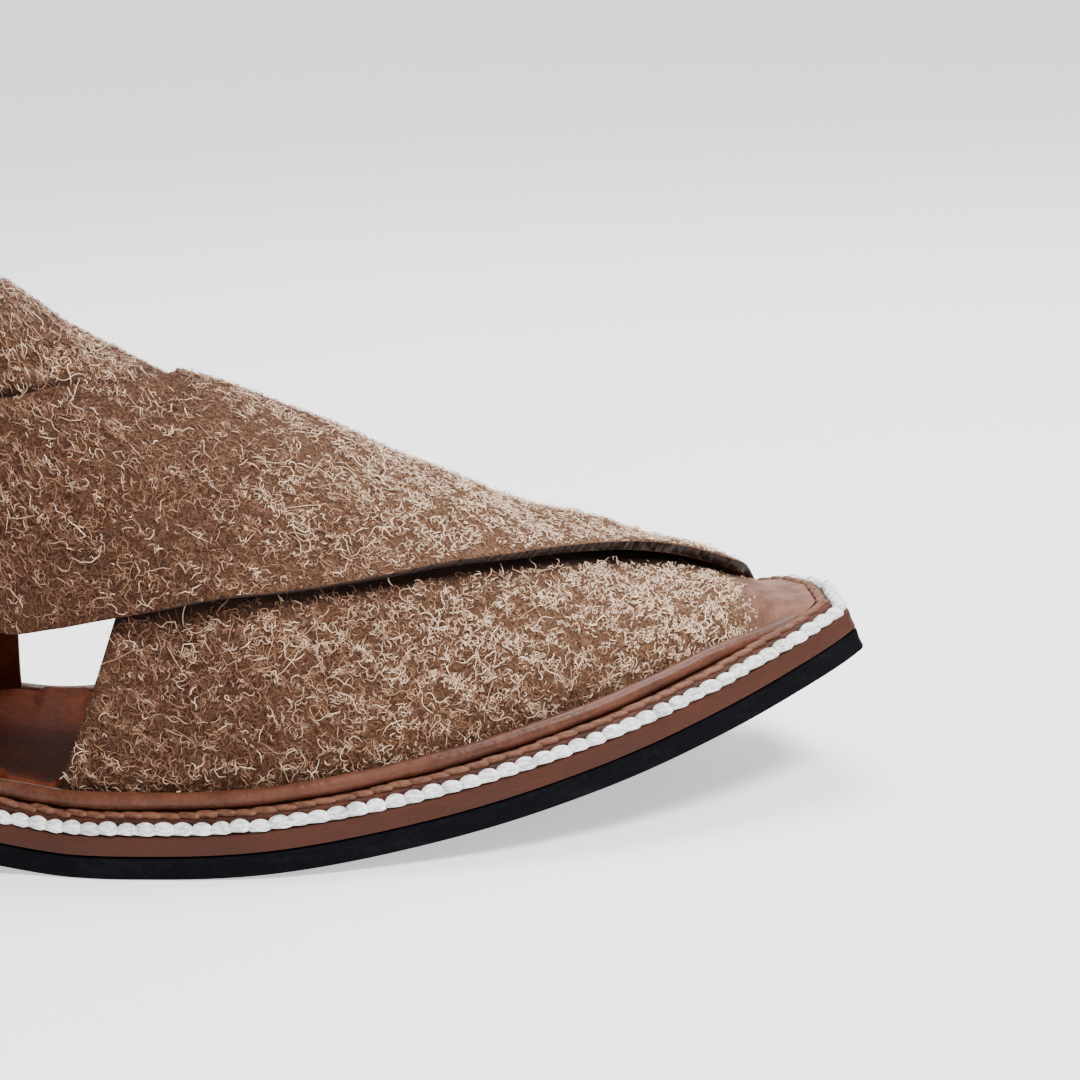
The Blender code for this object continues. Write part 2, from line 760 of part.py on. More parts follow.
def make_counter(group):
    """Heel counter that stands on the midsole and wraps the heel."""
    x = FEATHER_INSET + (LENGTH - 2 * FEATHER_INSET) * COUNTER_STATIONS
    top = COUNTER_HEIGHT * smooth(COUNTER_TOP, 1, x / LENGTH)
    shares = np.linspace(0, 1, COUNTER_ROWS + 1)
    outside = np.stack([counter_loop(share * top, 0.0) for share in shares])
    inside = np.stack([counter_loop(share * top, COUNTER_WALL) for share in shares])
    return sheet("heel_counter", inside, outside, group)


# Ankle strap, keeper and buckle

STRAP_LEVEL = HEEL_RISE + SEAT + STRAP_HEIGHT


def ear_frame(side, x):
    """A place on an ear: origin on the last, level along to the heel, up and outward."""
    base, height, roundness = last_section(x)[2:5]
    angle = math.degrees(math.asin(((STRAP_LEVEL - base) / height) ** (roundness / 2)))
    around = np.array(angle if side < 0 else 180 - angle)
    origin = last_point(x, around)
    outward = last_normal(x, around)
    along = np.array([-outward[1] * side, outward[0] * side, 0.0])
    along *= -np.sign(along[0]) / np.linalg.norm(along)
    up = np.cross(along, outward)
    up *= np.sign(up[2])
    return origin, along, up, outward


def strap_stops():
    """Lower and upper edge of the strap's inner face, from the inner ear to the outer."""
    stops = []
    ear = EAR_END * LENGTH - ORIGIN_X
    half = STRAP_WIDTH / 2
    for ahead in STRAP_INNER_STOPS:
        origin, _, up, outward = ear_frame(1, np.array(ear + ahead))
        middle = origin + outward * (WALL + GAP)
        stops.append((middle - up * half, middle + up * half))
    loops = {}
    for end in (-1, 1):
        level = STRAP_HEIGHT + end * half
        loops[end] = counter_loop(level + 0 * COUNTER_STATIONS, -3 * GAP)
    count = len(loops[1])
    keep = [i for i in range(count) if loops[1][i, 0] + ORIGIN_X < STRAP_LEAVES * LENGTH]
    for i in reversed(keep):
        stops.append((loops[-1][i], loops[1][i]))
    origin, along, up, outward = ear_frame(-1, np.array(ear))
    over_ear = 2 * WALL - LAP_SINK + GAP
    for behind, drop in STRAP_BEHIND:
        middle = origin + along * behind + outward * (over_ear - drop)
        stops.append((middle - up * half, middle + up * half))
    for ahead in STRAP_OUTER_STOPS:
        origin, _, up, outward = ear_frame(-1, np.array(ear + ahead))
        middle = origin + outward * over_ear
        stops.append((middle - up * half, middle + up * half))
    return np.array(stops)


def through(points, steps):
    """A smooth curve through points, steps to each span."""
    padded = np.concatenate([2 * points[:1] - points[1:2], points, 2 * points[-1:] - points[-2:-1]])
    curve = []
    for i in range(1, len(padded) - 2):
        a, b, c, d = padded[i - 1:i + 3]
        for t in np.linspace(0, 1, steps, endpoint=False):
            bend = 2 * b + (c - a) * t + (2 * a - 5 * b + 4 * c - d) * t ** 2
            curve.append((bend + (3 * b - a - 3 * c + d) * t ** 3) / 2)
    curve.append(points[-1])
    return np.array(curve)


def make_strap(group, cutters):
    """Strap from the inner ear round the heel, through the buckle, over the outer ear."""
    stops = strap_stops()
    low = through(stops[:, 0], 2)
    high = through(stops[:, 1], 2)
    along = np.gradient((low + high) / 2, axis=0)
    outward = np.cross(along, high - low)
    outward /= np.linalg.norm(outward, axis=1, keepdims=True)
    thick = STRAP_THICKNESS
    sections = [
        np.array([a, b, b + n * thick, a + n * thick])
        for a, b, n in zip(low, high, outward)
    ]
    strap = bar("ankle_strap", sections, group)
    hole = prong_hole(cutters)
    boolean(strap, hole, "DIFFERENCE")
    return strap


def buckle_place():
    """Frame of the buckle at the end of the outer ear."""
    return ear_frame(-1, np.array(EAR_END * LENGTH - ORIGIN_X))


def buckle_levels():
    """Distances off the last of the hinge bar and of the far bar."""
    hinge = 1.5 * WALL - LAP_SINK
    strap_top = 2 * WALL - LAP_SINK + GAP + STRAP_THICKNESS
    far = strap_top - STRAP_DROP + 2 * GAP + BUCKLE_WIRE
    return hinge, far


def prong_hole(cutters):
    """Slot in the strap for the prong."""
    origin, along, up, outward = buckle_place()
    wide = PRONG_WIRE + 2 * GAP
    sections = []
    for distance in (HOLE_FROM, HOLE_TO):
        middle = origin + along * distance
        sections.append(np.array([
            middle - up * wide,
            middle + up * wide,
            middle + up * wide + outward * HOLE_DEPTH,
            middle - up * wide + outward * HOLE_DEPTH,
        ]))
    return bar("cut_prong_hole", sections, cutters)


def make_buckle(group):
    """Frame hinged in the ear's end, and the prong through the strap."""
    origin, along, up, outward = buckle_place()
    hinge, far = buckle_levels()
    start = BUCKLE_WIRE + GAP
    half = STRAP_WIDTH / 2 + BUCKLE_WIRE + 2 * GAP
    corners = (
        (start, hinge, -half),
        (start, hinge, half),
        (start + BUCKLE_LENGTH, far, half),
        (start + BUCKLE_LENGTH, far, -half),
    )
    points = [origin + along * a + outward * n + up * b for a, n, b in corners]
    rod("buckle_frame", rounded(points, BUCKLE_CORNER), BUCKLE_WIRE, True, group)
    rise = far + BUCKLE_WIRE + GAP + PRONG_WIRE
    points = [
        origin + along * (start + behind) + outward * (hinge + share * (rise - hinge))
        for behind, share in PRONG_ROUTE
    ]
    rod("buckle_prong", points, PRONG_WIRE, False, group)


def rounded(points, corner):
    """A closed polygon with each corner cut to two points."""
    made = []
    for i, point in enumerate(points):
        before = points[i - 1]
        after = points[(i + 1) % len(points)]
        for other in (before, after):
            span = other - point
            made.append(point + span / np.linalg.norm(span) * corner)
    return made


def make_keeper(group):
    """Leather bridge on the outer ear that holds the strap's free end."""
    place = np.array(EAR_END * LENGTH - ORIGIN_X + KEEPER_PLACE)
    origin, along, up, outward = ear_frame(-1, place)
    foot = 2 * WALL - LAP_SINK + GAP
    roof = foot + STRAP_THICKNESS + 2 * GAP
    half = STRAP_WIDTH / 2 + 2 * GAP
    inner = ((-half, foot), (-half, roof), (half, roof), (half, foot))
    side = half + KEEPER_THICKNESS
    outer = ((side, foot), (side, roof + KEEPER_THICKNESS), (-side, roof + KEEPER_THICKNESS), (-side, foot))
    sections = []
    for end in (-1, 1):
        middle = origin + along * end * KEEPER_WIDTH / 2
        sections.append(np.array([middle + up * b + outward * n for b, n in inner + outer]))
    return bar("strap_keeper", sections, group)


def main():
    """Build the chappal."""
    clear_scene()
    group = collection("peshawari_chappal")
    cutters = collection("cutters")
    make_outsole(group)
    make_midsole(group)
    make_heel(group)
    make_insole(group)
    make_welt(group)
    make_cord(group)
    make_rand(group)
    make_upper(group, cutters)
    make_counter(group)
    make_strap(group, cutters)
    make_keeper(group)
    make_buckle(group)
    for thing in group.objects:
        dress(thing, thing.name)


main()
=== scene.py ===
# %% [markdown]
# # Dressing a peshawari chappal
# The real shoe is made on a last: two crossing straps of long-haired suede, a rolled
# leather rand, a stitched welt and a curled-up leather and rubber sole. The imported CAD
# model gives the true sizes. This lesson loads it as a frame that never moves, and builds
# the visible leather, thread and hair around it.

import math

import bmesh
import bpy
import numpy as np
from mathutils import Matrix, Vector
from mathutils.bvhtree import BVHTree


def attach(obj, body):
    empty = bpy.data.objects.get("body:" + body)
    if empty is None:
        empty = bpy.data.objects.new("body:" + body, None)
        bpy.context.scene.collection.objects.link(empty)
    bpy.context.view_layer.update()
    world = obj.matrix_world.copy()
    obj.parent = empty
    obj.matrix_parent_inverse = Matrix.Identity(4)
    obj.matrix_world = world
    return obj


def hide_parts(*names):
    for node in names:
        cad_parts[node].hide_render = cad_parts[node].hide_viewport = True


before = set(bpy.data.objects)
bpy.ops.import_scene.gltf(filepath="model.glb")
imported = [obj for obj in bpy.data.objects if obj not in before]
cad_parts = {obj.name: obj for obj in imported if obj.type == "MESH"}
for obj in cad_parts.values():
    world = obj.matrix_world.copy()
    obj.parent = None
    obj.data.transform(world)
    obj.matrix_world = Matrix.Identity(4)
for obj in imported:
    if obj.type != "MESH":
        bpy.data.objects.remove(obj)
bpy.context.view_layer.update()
chance = np.random.default_rng(7)
print("nodes:", ", ".join(sorted(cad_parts)))

# %% [markdown]
# ## The sizes of the shoe
# Each visible piece follows the same last and the same outline as the solid that it
# stands for, so the sizes here are the ones that the CAD model was cut from. Stations are
# shares of the length from the back of the heel.

# %% Sizes
LENGTH = 0.290
BALL_WIDTH = 0.0988
HEEL_RISE = 0.0130
TOE_SPRING = 0.0257
OUTSOLE = 0.0041
MIDSOLE = 0.0036
TOP_PIECE = 0.0050
GAP = 0.0003
TOE_CORNER = 0.0025
INNER_CORNER = 0.0050
HEEL_BREAST = 0.248
FLAT_REAR = 0.490
FLAT_FRONT = 0.538
TOE_CURVE = 1.9
FEATHER_INSET = 0.0083
WALL = 0.0023
LAP_SINK = 0.0004
LAP_RUN = 26.0
INSTEP_HEIGHT = 0.0905
RIDGE_OFFSET = 0.0025
BEAD_INSET = 0.0062
BEAD_HEIGHT = 0.00475
BEAD_RADIUS = 0.0016
EAR_END = 0.303
SHELL_TOE = 0.951
DRAPE_START = 0.9300
WAIST_FRONT = 0.476
FOOTBED_FRONT = 0.925
FOOTBED_THICKNESS = 0.0028
COUNTER_WALL = 0.0026
COUNTER_HEIGHT = 0.0550
COUNTER_BULGE = 0.0028
COUNTER_FRONT = 0.4293
STRAP_WIDTH = 0.0200
STRAP_THICKNESS = 0.0022
STRAP_HEIGHT = 0.0450
STITCH_PITCH = 0.00348
STRAP_STITCH_PITCH = 0.0030
STRAP_STITCH_EDGE = 0.0078
STRAP_HOLE_PITCH = 0.0065

OUTLINE = (
    (0.000, 0.040, 0.040), (0.010, 0.152, 0.152), (0.035, 0.252, 0.252), (0.070, 0.317, 0.317),
    (0.110, 0.349, 0.349), (0.160, 0.365, 0.364), (0.220, 0.372, 0.366), (0.300, 0.368, 0.352),
    (0.360, 0.366, 0.348), (0.420, 0.374, 0.360), (0.520, 0.460, 0.420), (0.620, 0.504, 0.496),
    (0.720, 0.481, 0.494), (0.820, 0.421, 0.420), (0.900, 0.332, 0.322), (0.960, 0.240, 0.214),
    (0.985, 0.195, 0.135), (1.000, 0.158, 0.020),
)
RIDGE = (
    (0.260, 1.420, 2.50, 0.080), (0.340, 1.210, 2.45, 0.070), (0.400, 1.080, 2.35, 0.045),
    (0.453, 1.000, 2.25, 0.020), (0.500, 0.895, 2.20, 0.005), (0.552, 0.796, 2.15, 0.000),
    (0.603, 0.718, 2.10, 0.000), (0.655, 0.619, 2.05, 0.000), (0.707, 0.514, 2.00, 0.000),
    (0.759, 0.409, 2.00, 0.000), (0.810, 0.309, 2.00, 0.000), (0.862, 0.216, 2.00, 0.000),
    (0.903, 0.134, 2.00, 0.000), (0.938, 0.056, 2.00, 0.000), (0.966, 0.016, 2.00, 0.000),
)
print("outsole %.0f mm long, ball %.1f mm wide" % (LENGTH * 1000, BALL_WIDTH * 1000))

# %% [markdown]
# ## Curves through a table
# A maker draws a shoe with a few offsets and a springy batten. The same idea here is a
# monotone cubic: it passes through each row of a table and never swings past it.

# %% Curve, outline and underside
def ease(share):
    """A share from 0 to 1 that starts and ends softly."""
    return share * share * (3 - 2 * share)


def unit(vectors):
    """Vectors brought to length 1."""
    return vectors / (np.linalg.norm(vectors, axis=-1, keepdims=True) + 1e-12)


def run_of(line):
    """Distance along a line at each of its points."""
    return np.concatenate([[0], np.cumsum(np.linalg.norm(np.diff(line, axis=0), axis=1))])


def between(at, run, values):
    """Values of a line's points, read at distances along it."""
    return np.stack([np.interp(at, run, values[:, k]) for k in range(3)], axis=-1)


def smooth(rows, column, at):
    """Value of one column of a table, on a curve that never overshoots its rows."""
    table = np.array(rows, float)
    x, y = table[:, 0], table[:, column]
    step = np.diff(x)
    slope = np.diff(y) / step
    tangent = np.zeros_like(y)
    tangent[0], tangent[-1] = slope[0], slope[-1]
    for i in range(1, len(x) - 1):
        if slope[i - 1] * slope[i] > 0:
            before = 2 * step[i] + step[i - 1]
            after = step[i] + 2 * step[i - 1]
            tangent[i] = (before + after) / (before / slope[i - 1] + after / slope[i])
    at = np.clip(at, x[0], x[-1])
    i = np.clip(np.searchsorted(x, at) - 1, 0, len(x) - 2)
    t = (at - x[i]) / step[i]
    ends = y[i] * (1 + 2 * t) * (1 - t) ** 2 + y[i + 1] * t * t * (3 - 2 * t)
    bends = step[i] * (tangent[i] * t * (1 - t) ** 2 + tangent[i + 1] * t * t * (t - 1))
    return ends + bends


EDGE_X = np.linspace(0, LENGTH, 500)
EDGE = {-1: BALL_WIDTH * smooth(OUTLINE, 1, EDGE_X / LENGTH),
        1: BALL_WIDTH * smooth(OUTLINE, 2, EDGE_X / LENGTH)}
ORIGIN_X = LENGTH / 2
ORIGIN_Y = (EDGE[1].max() - EDGE[-1].max()) / 2


def half_width(side, depth, corner, x):
    """Half width at x of the outline brought in by depth, its corners rounded."""
    cut = depth + corner
    inner_x = np.linspace(cut, LENGTH - cut, 500)
    reach = inner_x[:, None] - EDGE_X[None, :]
    rise = np.sqrt(np.clip(cut ** 2 - reach ** 2, 0, None))
    inner = np.where(np.abs(reach) < cut, EDGE[side][None, :] - rise, LENGTH).min(axis=1)
    reach = np.asarray(x)[:, None] - inner_x[None, :]
    rise = np.sqrt(np.clip(corner ** 2 - reach ** 2, 0, None))
    return np.where(np.abs(reach) <= corner + 1e-7, inner[None, :] + rise, -LENGTH).max(axis=1)


def sole_rise(x):
    """Height of the underside above the ground."""
    heel = np.clip((FLAT_REAR * LENGTH - x) / ((FLAT_REAR - HEEL_BREAST) * LENGTH), 0, 1)
    toe = np.clip((x - FLAT_FRONT * LENGTH) / ((1 - FLAT_FRONT) * LENGTH), 0, None)
    return HEEL_RISE * ease(heel) + TOE_SPRING * toe ** TOE_CURVE


def on_sole(x, y, height):
    """Points at a height above the underside, square to it."""
    angle = np.arctan((sole_rise(x + 1e-5) - sole_rise(x - 1e-5)) / 2e-5)
    return np.stack([x - height * np.sin(angle) - ORIGIN_X, y - ORIGIN_Y + 0 * x,
                     sole_rise(x) + height * np.cos(angle)], axis=-1)


def ring(depth, corner, height, steps=150):
    """Closed outline at one depth and height: outer side to the toe, inner side back."""
    x = depth + (LENGTH - 2 * depth) * (1 - np.cos(np.linspace(0, math.pi, steps))) / 2
    outer = on_sole(x, -half_width(-1, depth, corner, x), height)
    inner = on_sole(x, half_width(1, depth, corner, x), height)
    return np.concatenate([outer, inner[::-1]])


MIDSOLE_BASE = OUTSOLE + GAP
MIDSOLE_TOP = MIDSOLE_BASE + MIDSOLE
SEAT = MIDSOLE_TOP + GAP
print("midsole top %.1f mm above the underside" % (MIDSOLE_TOP * 1000))

# %% [markdown]
# ## Shader maths as plain expressions
# A material is a small calculation. The class below wraps one output of a node, so that
# a mask can be written as `1 - mask` and Blender still gets its Math nodes. Colours go
# through Mix nodes, because a Math node would turn them grey.

# %% Sockets that can be added and multiplied
class Wire:
    """One output of a node in a finish."""

    def __init__(self, finish, socket):
        self.finish = finish
        self.socket = socket

    def math(self, operation, *others):
        values = [self, *others]
        return self.finish.node("ShaderNodeMath", {"operation": operation}, dict(enumerate(values)))

    def turned(self, operation, other):
        return self.finish.node("ShaderNodeMath", {"operation": operation}, {0: other, 1: self})

    def __add__(self, other):
        return self.math("ADD", other)

    def __mul__(self, other):
        return self.math("MULTIPLY", other)

    def __radd__(self, other):
        return self.turned("ADD", other)

    def __rsub__(self, other):
        return self.turned("SUBTRACT", other)

    def step(self, low, high):
        """0 below low, 1 above high, soft between."""
        settings = {"interpolation_type": "SMOOTHSTEP"}
        sockets = {"Value": self, "From Min": low, "From Max": high}
        return self.finish.node("ShaderNodeMapRange", settings, sockets)


class Finish:
    """A material under construction."""

    def __init__(self, name, **fixed):
        self.material = bpy.data.materials.new(name)
        self.material.use_nodes = True
        self.tree = self.material.node_tree
        self.shader = self.tree.nodes["Principled BSDF"]
        for socket, value in fixed.items():
            self.shader.inputs[socket.replace("_", " ")].default_value = value

    def node(self, kind, settings=None, sockets=None, output=0):
        """A node with its settings made first, then its sockets filled or linked."""
        node = self.tree.nodes.new(kind)
        for key, value in (settings or {}).items():
            if key == "stops":
                ramp = node.color_ramp
                while len(ramp.elements) < len(value):
                    ramp.elements.new(1.0)
                for element, (place, colour) in zip(ramp.elements, value):
                    element.position = place
                    element.color = (*colour, 1.0)
            else:
                setattr(node, key, value)
        for key, value in (sockets or {}).items():
            if isinstance(value, Wire):
                self.tree.links.new(value.socket, node.inputs[key])
            else:
                node.inputs[key].default_value = value
        return Wire(self, node.outputs[output])

    def place(self, stretch=(1, 1, 1)):
        """Position on the shoe, stretched to draw a texture out."""
        here = self.node("ShaderNodeTexCoord", output="Object")
        return self.node("ShaderNodeVectorMath", {"operation": "MULTIPLY"}, {0: here, 1: stretch})

    def noise(self, size, detail=3.0, rough=0.5, twist=0.0, stretch=(1, 1, 1)):
        """Soft cloud between 0 and 1, with lumps of about that size in metres."""
        sockets = {"Vector": self.place(stretch), "Scale": 1 / size, "Detail": detail,
                   "Roughness": rough, "Distortion": twist}
        return self.node("ShaderNodeTexNoise", None, sockets)

    def cells(self, size, stretch=(1, 1, 1)):
        """Soft distance to the nearest cell of about that size in metres."""
        sockets = {"Vector": self.place(stretch), "Scale": 1 / size}
        return self.node("ShaderNodeTexVoronoi", {"feature": "SMOOTH_F1"}, sockets)

    def mark(self, name):
        """A number stored on each point of the mesh."""
        return self.node("ShaderNodeAttribute", {"attribute_name": name}, output="Fac")

    def ramp(self, value, *stops):
        return self.node("ShaderNodeValToRGB", {"stops": stops}, {"Fac": value})

    def mix(self, share, one, other):
        """Two colours mixed by a share."""
        one = one if isinstance(one, Wire) else (*one, 1.0)
        other = other if isinstance(other, Wire) else (*other, 1.0)
        return self.node("ShaderNodeMix", {"data_type": "RGBA"}, {0: share, 6: one, 7: other}, output=2)

    def bump(self, height, depth, strength=1.0, over=None):
        """A bumped normal from a height, its depth in metres."""
        sockets = {"Height": height, "Distance": depth, "Strength": strength}
        if over is not None:
            sockets["Normal"] = over
        return self.node("ShaderNodeBump", None, sockets)

    def feed(self, **wires):
        """Link wires into the shader and hand the material over."""
        for socket, wire in wires.items():
            self.tree.links.new(wire.socket, self.shader.inputs[socket.replace("_", " ")])
        return self.material


print("shader helpers ready")

# %% [markdown]
# ## The finishes
# The hide is used with its long-haired flesh side out. Deep down it is dark red-brown,
# and the combed-out hair catches the light as tan. Base and hair get their own finishes,
# so that the depth between them is real.

# %% Suede, hair and lining
def suede_finish():
    """Rough flesh side under the hair."""
    f = Finish("rough_suede", Roughness=0.95, Specular_IOR_Level=0.15)
    wide = f.noise(0.022, 4.0, 0.6)
    fine = f.noise(0.0011, 6.0, 0.75, 2.2)
    deep = f.mix(wide.step(0.3, 0.7), (0.022, 0.0065, 0.0035), (0.045, 0.015, 0.0075))
    light = f.mix(wide.step(0.3, 0.7), (0.120, 0.052, 0.026), (0.180, 0.084, 0.043))
    colour = f.mix(fine.step(0.40, 0.66), deep, light)
    # Painted light: a lighter tan, mixed in high on the straps and towards the toe by the next mark.
    tan = f.mix(fine.step(0.36, 0.66), (0.060, 0.024, 0.013), (0.300, 0.165, 0.098))
    colour = f.mix(f.mark("wear"), colour, tan)
    cloud = f.noise(0.004, 4.0).step(0.3, 0.7)
    smooth_tan = f.mix(cloud, (0.200, 0.0900, 0.0620), (0.340, 0.1750, 0.1280))
    colour = f.mix(f.mark("bare"), colour, smooth_tan)
    # Painted shade: the lap mark darkens the lower strap under the upper strap's edge and just outside it.
    colour = f.mix(f.mark("lap"), colour, (0.0140, 0.0048, 0.0028))
    rough = 0.95 - f.mark("bare") * 0.45
    grain = f.bump(fine, 0.0010, 0.9)
    return f.feed(Base_Color=colour, Roughness=rough, Normal=grain)


def hair_finish():
    """Tan hair of the flesh side, each strand with its own tone."""
    f = Finish("suede_hair", Roughness=0.72, Specular_IOR_Level=0.3, Sheen_Weight=0.15)
    tone = f.mark("tone")
    colour = f.ramp(tone, (0.0, (0.028, 0.0085, 0.0040)), (0.30, (0.085, 0.032, 0.015)),
                    (0.62, (0.290, 0.145, 0.076)), (1.0, (0.880, 0.640, 0.450)))
    drift = f.noise(0.030, 3.0)
    colour = f.mix(drift.step(0.35, 0.65) * 0.25, colour, (0.150, 0.058, 0.030))
    return f.feed(Base_Color=colour)


def lining_finish():
    """Smooth inside of the straps, pinkish tan leather."""
    f = Finish("lining_leather", Roughness=0.6, Specular_IOR_Level=0.35)
    cloud = f.noise(0.012, 4.0, 0.6)
    colour = f.mix(cloud, (0.200, 0.090, 0.052), (0.330, 0.170, 0.105))
    grain = f.cells(0.0011)
    return f.feed(Base_Color=colour, Roughness=0.5 + cloud * 0.2, Normal=f.bump(grain, 0.0002, 0.5))


def cut_edge_finish():
    """Cut edge of the straps, stained dark and burnished."""
    f = Finish("cut_edge", Roughness=0.6, Specular_IOR_Level=0.3)
    fibre = f.noise(0.0012, 5.0, 0.7, 0.6)
    colour = f.mix(fibre.step(0.35, 0.7), (0.0070, 0.0026, 0.0017), (0.0280, 0.0095, 0.0052))
    return f.feed(Base_Color=colour, Normal=f.bump(fibre, 0.0003, 0.6))


CUT_EDGE = cut_edge_finish()
SUEDE = suede_finish()
HAIR = hair_finish()
LINING = lining_finish()
print("suede finishes:", SUEDE.name, HAIR.name, LINING.name)

# %% [markdown]
# The sole is oiled brown leather with a stained edge over black sheet rubber. The rand
# and the welt are the same leather, closer to dark red-brown, and rubbed shiny on top.

# %% Leather, rubber, thread and brass
def leather_finish(name, dark, light, rough, grain_size=0.0009, coat=0.0, streak=(1, 1, 1)):
    """Oiled leather with clouds, streaks and pores."""
    f = Finish(name, Roughness=rough, Specular_IOR_Level=0.22)
    cloud = f.noise(0.010, 5.0, 0.6, 0.6, streak)
    fine = f.noise(0.0012, 4.0, 0.6, 0.0, streak)
    colour = f.mix((cloud * 0.7 + fine * 0.3).step(0.35, 0.65), dark, light)
    scuff = f.noise(0.0030, 5.0, 0.75, 1.5, streak).step(0.62, 0.78)
    colour = f.mix(scuff * 0.35, colour, tuple(min(1.0, c * 1.9) for c in light))
    pores = f.cells(grain_size, streak)
    normal = f.bump(fine, 0.00030, 0.5, f.bump(pores, 0.00018, 0.6))
    f.shader.inputs["Coat Weight"].default_value = coat
    f.shader.inputs["Coat Roughness"].default_value = 0.35
    return f.feed(Base_Color=colour, Roughness=rough - 0.12 + cloud * 0.24, Normal=normal)


def rubber_finish():
    """Near-black sheet rubber with a bluish dust."""
    f = Finish("sole_rubber", Roughness=0.9, Specular_IOR_Level=0.06)
    dust = f.noise(0.006, 5.0, 0.7, 0.5, (0.5, 0.5, 2.0))
    specks = f.noise(0.0010, 4.0, 0.8)
    grey = (dust * 0.6 + specks * 0.4).step(0.45, 0.72)
    colour = f.mix(grey, (0.0022, 0.0022, 0.0034), (0.0070, 0.0072, 0.0105))
    lines = f.noise(0.0025, 3.0, 0.6, 0.0, (0.15, 0.15, 4.0))
    normal = f.bump(specks, 0.00025, 0.5, f.bump(lines, 0.00030, 0.4))
    return f.feed(Base_Color=colour, Roughness=0.75 + dust * 0.2, Normal=normal)


def thread_finish(name, dark, light, rough):
    """Twisted thread: fine slanting plies and a little dirt."""
    f = Finish(name, Roughness=rough, Specular_IOR_Level=0.3)
    plies = f.noise(0.0007, 3.0, 0.5, 0.0, (0.6, 0.6, 1.6))
    dirt = f.noise(0.005, 4.0, 0.7)
    colour = f.mix((plies * 0.55 + dirt * 0.45).step(0.34, 0.62), dark, light)
    return f.feed(Base_Color=colour, Normal=f.bump(plies, 0.00025, 0.7))


def brass_finish():
    """Plain brass, lightly tarnished."""
    f = Finish("plain_brass", Metallic=1.0, Roughness=0.3)
    cloud = f.noise(0.004, 4.0, 0.6)
    colour = f.mix(cloud.step(0.35, 0.7), (0.430, 0.310, 0.130), (0.720, 0.560, 0.290))
    return f.feed(Base_Color=colour, Roughness=0.24 + cloud * 0.22)


EDGE_LEATHER = leather_finish("midsole_leather", (0.0420, 0.0105, 0.0046), (0.0570, 0.0148, 0.0066),
                              0.66, 0.0008, 0.0, (0.6, 0.6, 1.6))
RAND_LEATHER = leather_finish("rand_leather", (0.0620, 0.0195, 0.0100), (0.1200, 0.0400, 0.0210),
                              0.44, 0.0009, 0.05)
WELT_LEATHER = leather_finish("welt_leather", (0.0320, 0.0085, 0.0042), (0.0700, 0.0195, 0.0090), 0.6, 0.0008)
FOOTBED = leather_finish("footbed_leather", (0.0760, 0.0140, 0.0045), (0.1450, 0.0310, 0.0100), 0.72, 0.0012)
FOOTBED_SHADER = FOOTBED.node_tree.nodes["Principled BSDF"]
FOOTBED_SHADER.inputs["Specular IOR Level"].default_value = 0.10
STRAP_LEATHER = leather_finish("strap_leather", (0.105, 0.043, 0.024), (0.180, 0.080, 0.044), 0.65, 0.0010)
RUBBER = rubber_finish()
WHITE_THREAD = thread_finish("white_thread", (0.360, 0.355, 0.345), (0.950, 0.950, 0.945), 0.7)
TAN_THREAD = thread_finish("tan_thread", (0.0700, 0.0235, 0.0115), (0.1700, 0.0680, 0.0370), 0.6)
BRASS = brass_finish()
print("finishes made:", len(bpy.data.materials))

# %% [markdown]
# ## Meshes from grids
# Leather is a sheet with a cut edge. A grid of points on each face of the sheet, joined
# round its border, gives that edge its real thickness and lets it round off.

# %% Mesh helpers
def add_mesh(name, points, faces, finishes, slots=None):
    """A smooth-shaded object, with its finishes and each face's slot."""
    mesh = bpy.data.meshes.new(name)
    mesh.from_pydata(np.asarray(points).tolist(), [], np.asarray(faces).tolist())
    for finish in finishes:
        mesh.materials.append(finish)
    if slots is not None:
        mesh.polygons.foreach_set("material_index", np.asarray(slots, dtype=np.int32))
    mesh.shade_smooth()
    mesh.update()
    thing = bpy.data.objects.new(name, mesh)
    bpy.context.scene.collection.objects.link(thing)
    return thing


def mark_points(thing, name, values):
    """Store a number on each point for the finish to read."""
    layer = thing.data.attributes.new(name, "FLOAT", "POINT")
    layer.data.foreach_set("value", np.asarray(values, dtype=np.float32))


def tube_faces(rings, count, closed_rings=False):
    """Quads between outlines of the same number of points."""
    last = rings if closed_rings else rings - 1
    k, i = np.meshgrid(np.arange(last), np.arange(count), indexing="ij")
    j = (i + 1) % count
    m = (k + 1) % rings
    quads = np.stack([k * count + i, k * count + j, m * count + j, m * count + i], axis=-1)
    return quads.reshape(-1, 4)


def cap_faces(first, count):
    """Quads across a closed outline whose two halves mirror each other."""
    i = np.arange(count // 2 - 1)
    return np.stack([first + i, first + i + 1, first + count - 2 - i, first + count - 1 - i], axis=-1)


def grid_quads(index):
    """Quads between the points of a grid."""
    return np.stack([index[:-1, :-1], index[1:, :-1], index[1:, 1:], index[:-1, 1:]], axis=-1)


def outward(thing):
    """Turn all faces of a closed mesh outward."""
    shape = bmesh.new()
    shape.from_mesh(thing.data)
    bmesh.ops.recalc_face_normals(shape, faces=shape.faces)
    shape.to_mesh(thing.data)
    shape.free()
    return thing


def stack(name, rings, finish):
    """A solid from stacked outlines."""
    count = len(rings[0])
    top = (len(rings) - 1) * count
    faces = np.concatenate([tube_faces(len(rings), count), cap_faces(0, count), cap_faces(top, count)])
    thing = outward(add_mesh(name, np.concatenate(rings), faces, [finish]))
    thing.data.set_sharp_from_angle(angle=math.radians(40))
    return thing


def hoop(name, rings, finish, sharp):
    """A closed ring whose section has one corner on each outline."""
    faces = tube_faces(len(rings), len(rings[0]), True)
    thing = outward(add_mesh(name, np.concatenate(rings), faces, [finish]))
    if sharp:
        thing.data.set_sharp_from_angle(angle=math.radians(sharp))
    return thing


def stands_for(thing, slot, *nodes):
    """A piece that rides on the shoe and takes the place of CAD nodes."""
    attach(thing, "root")
    if nodes:
        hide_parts(*nodes)
    thing.data.calc_loop_triangles()
    print("%s: %d triangles" % (thing.name, len(thing.data.loop_triangles)))
    return thing


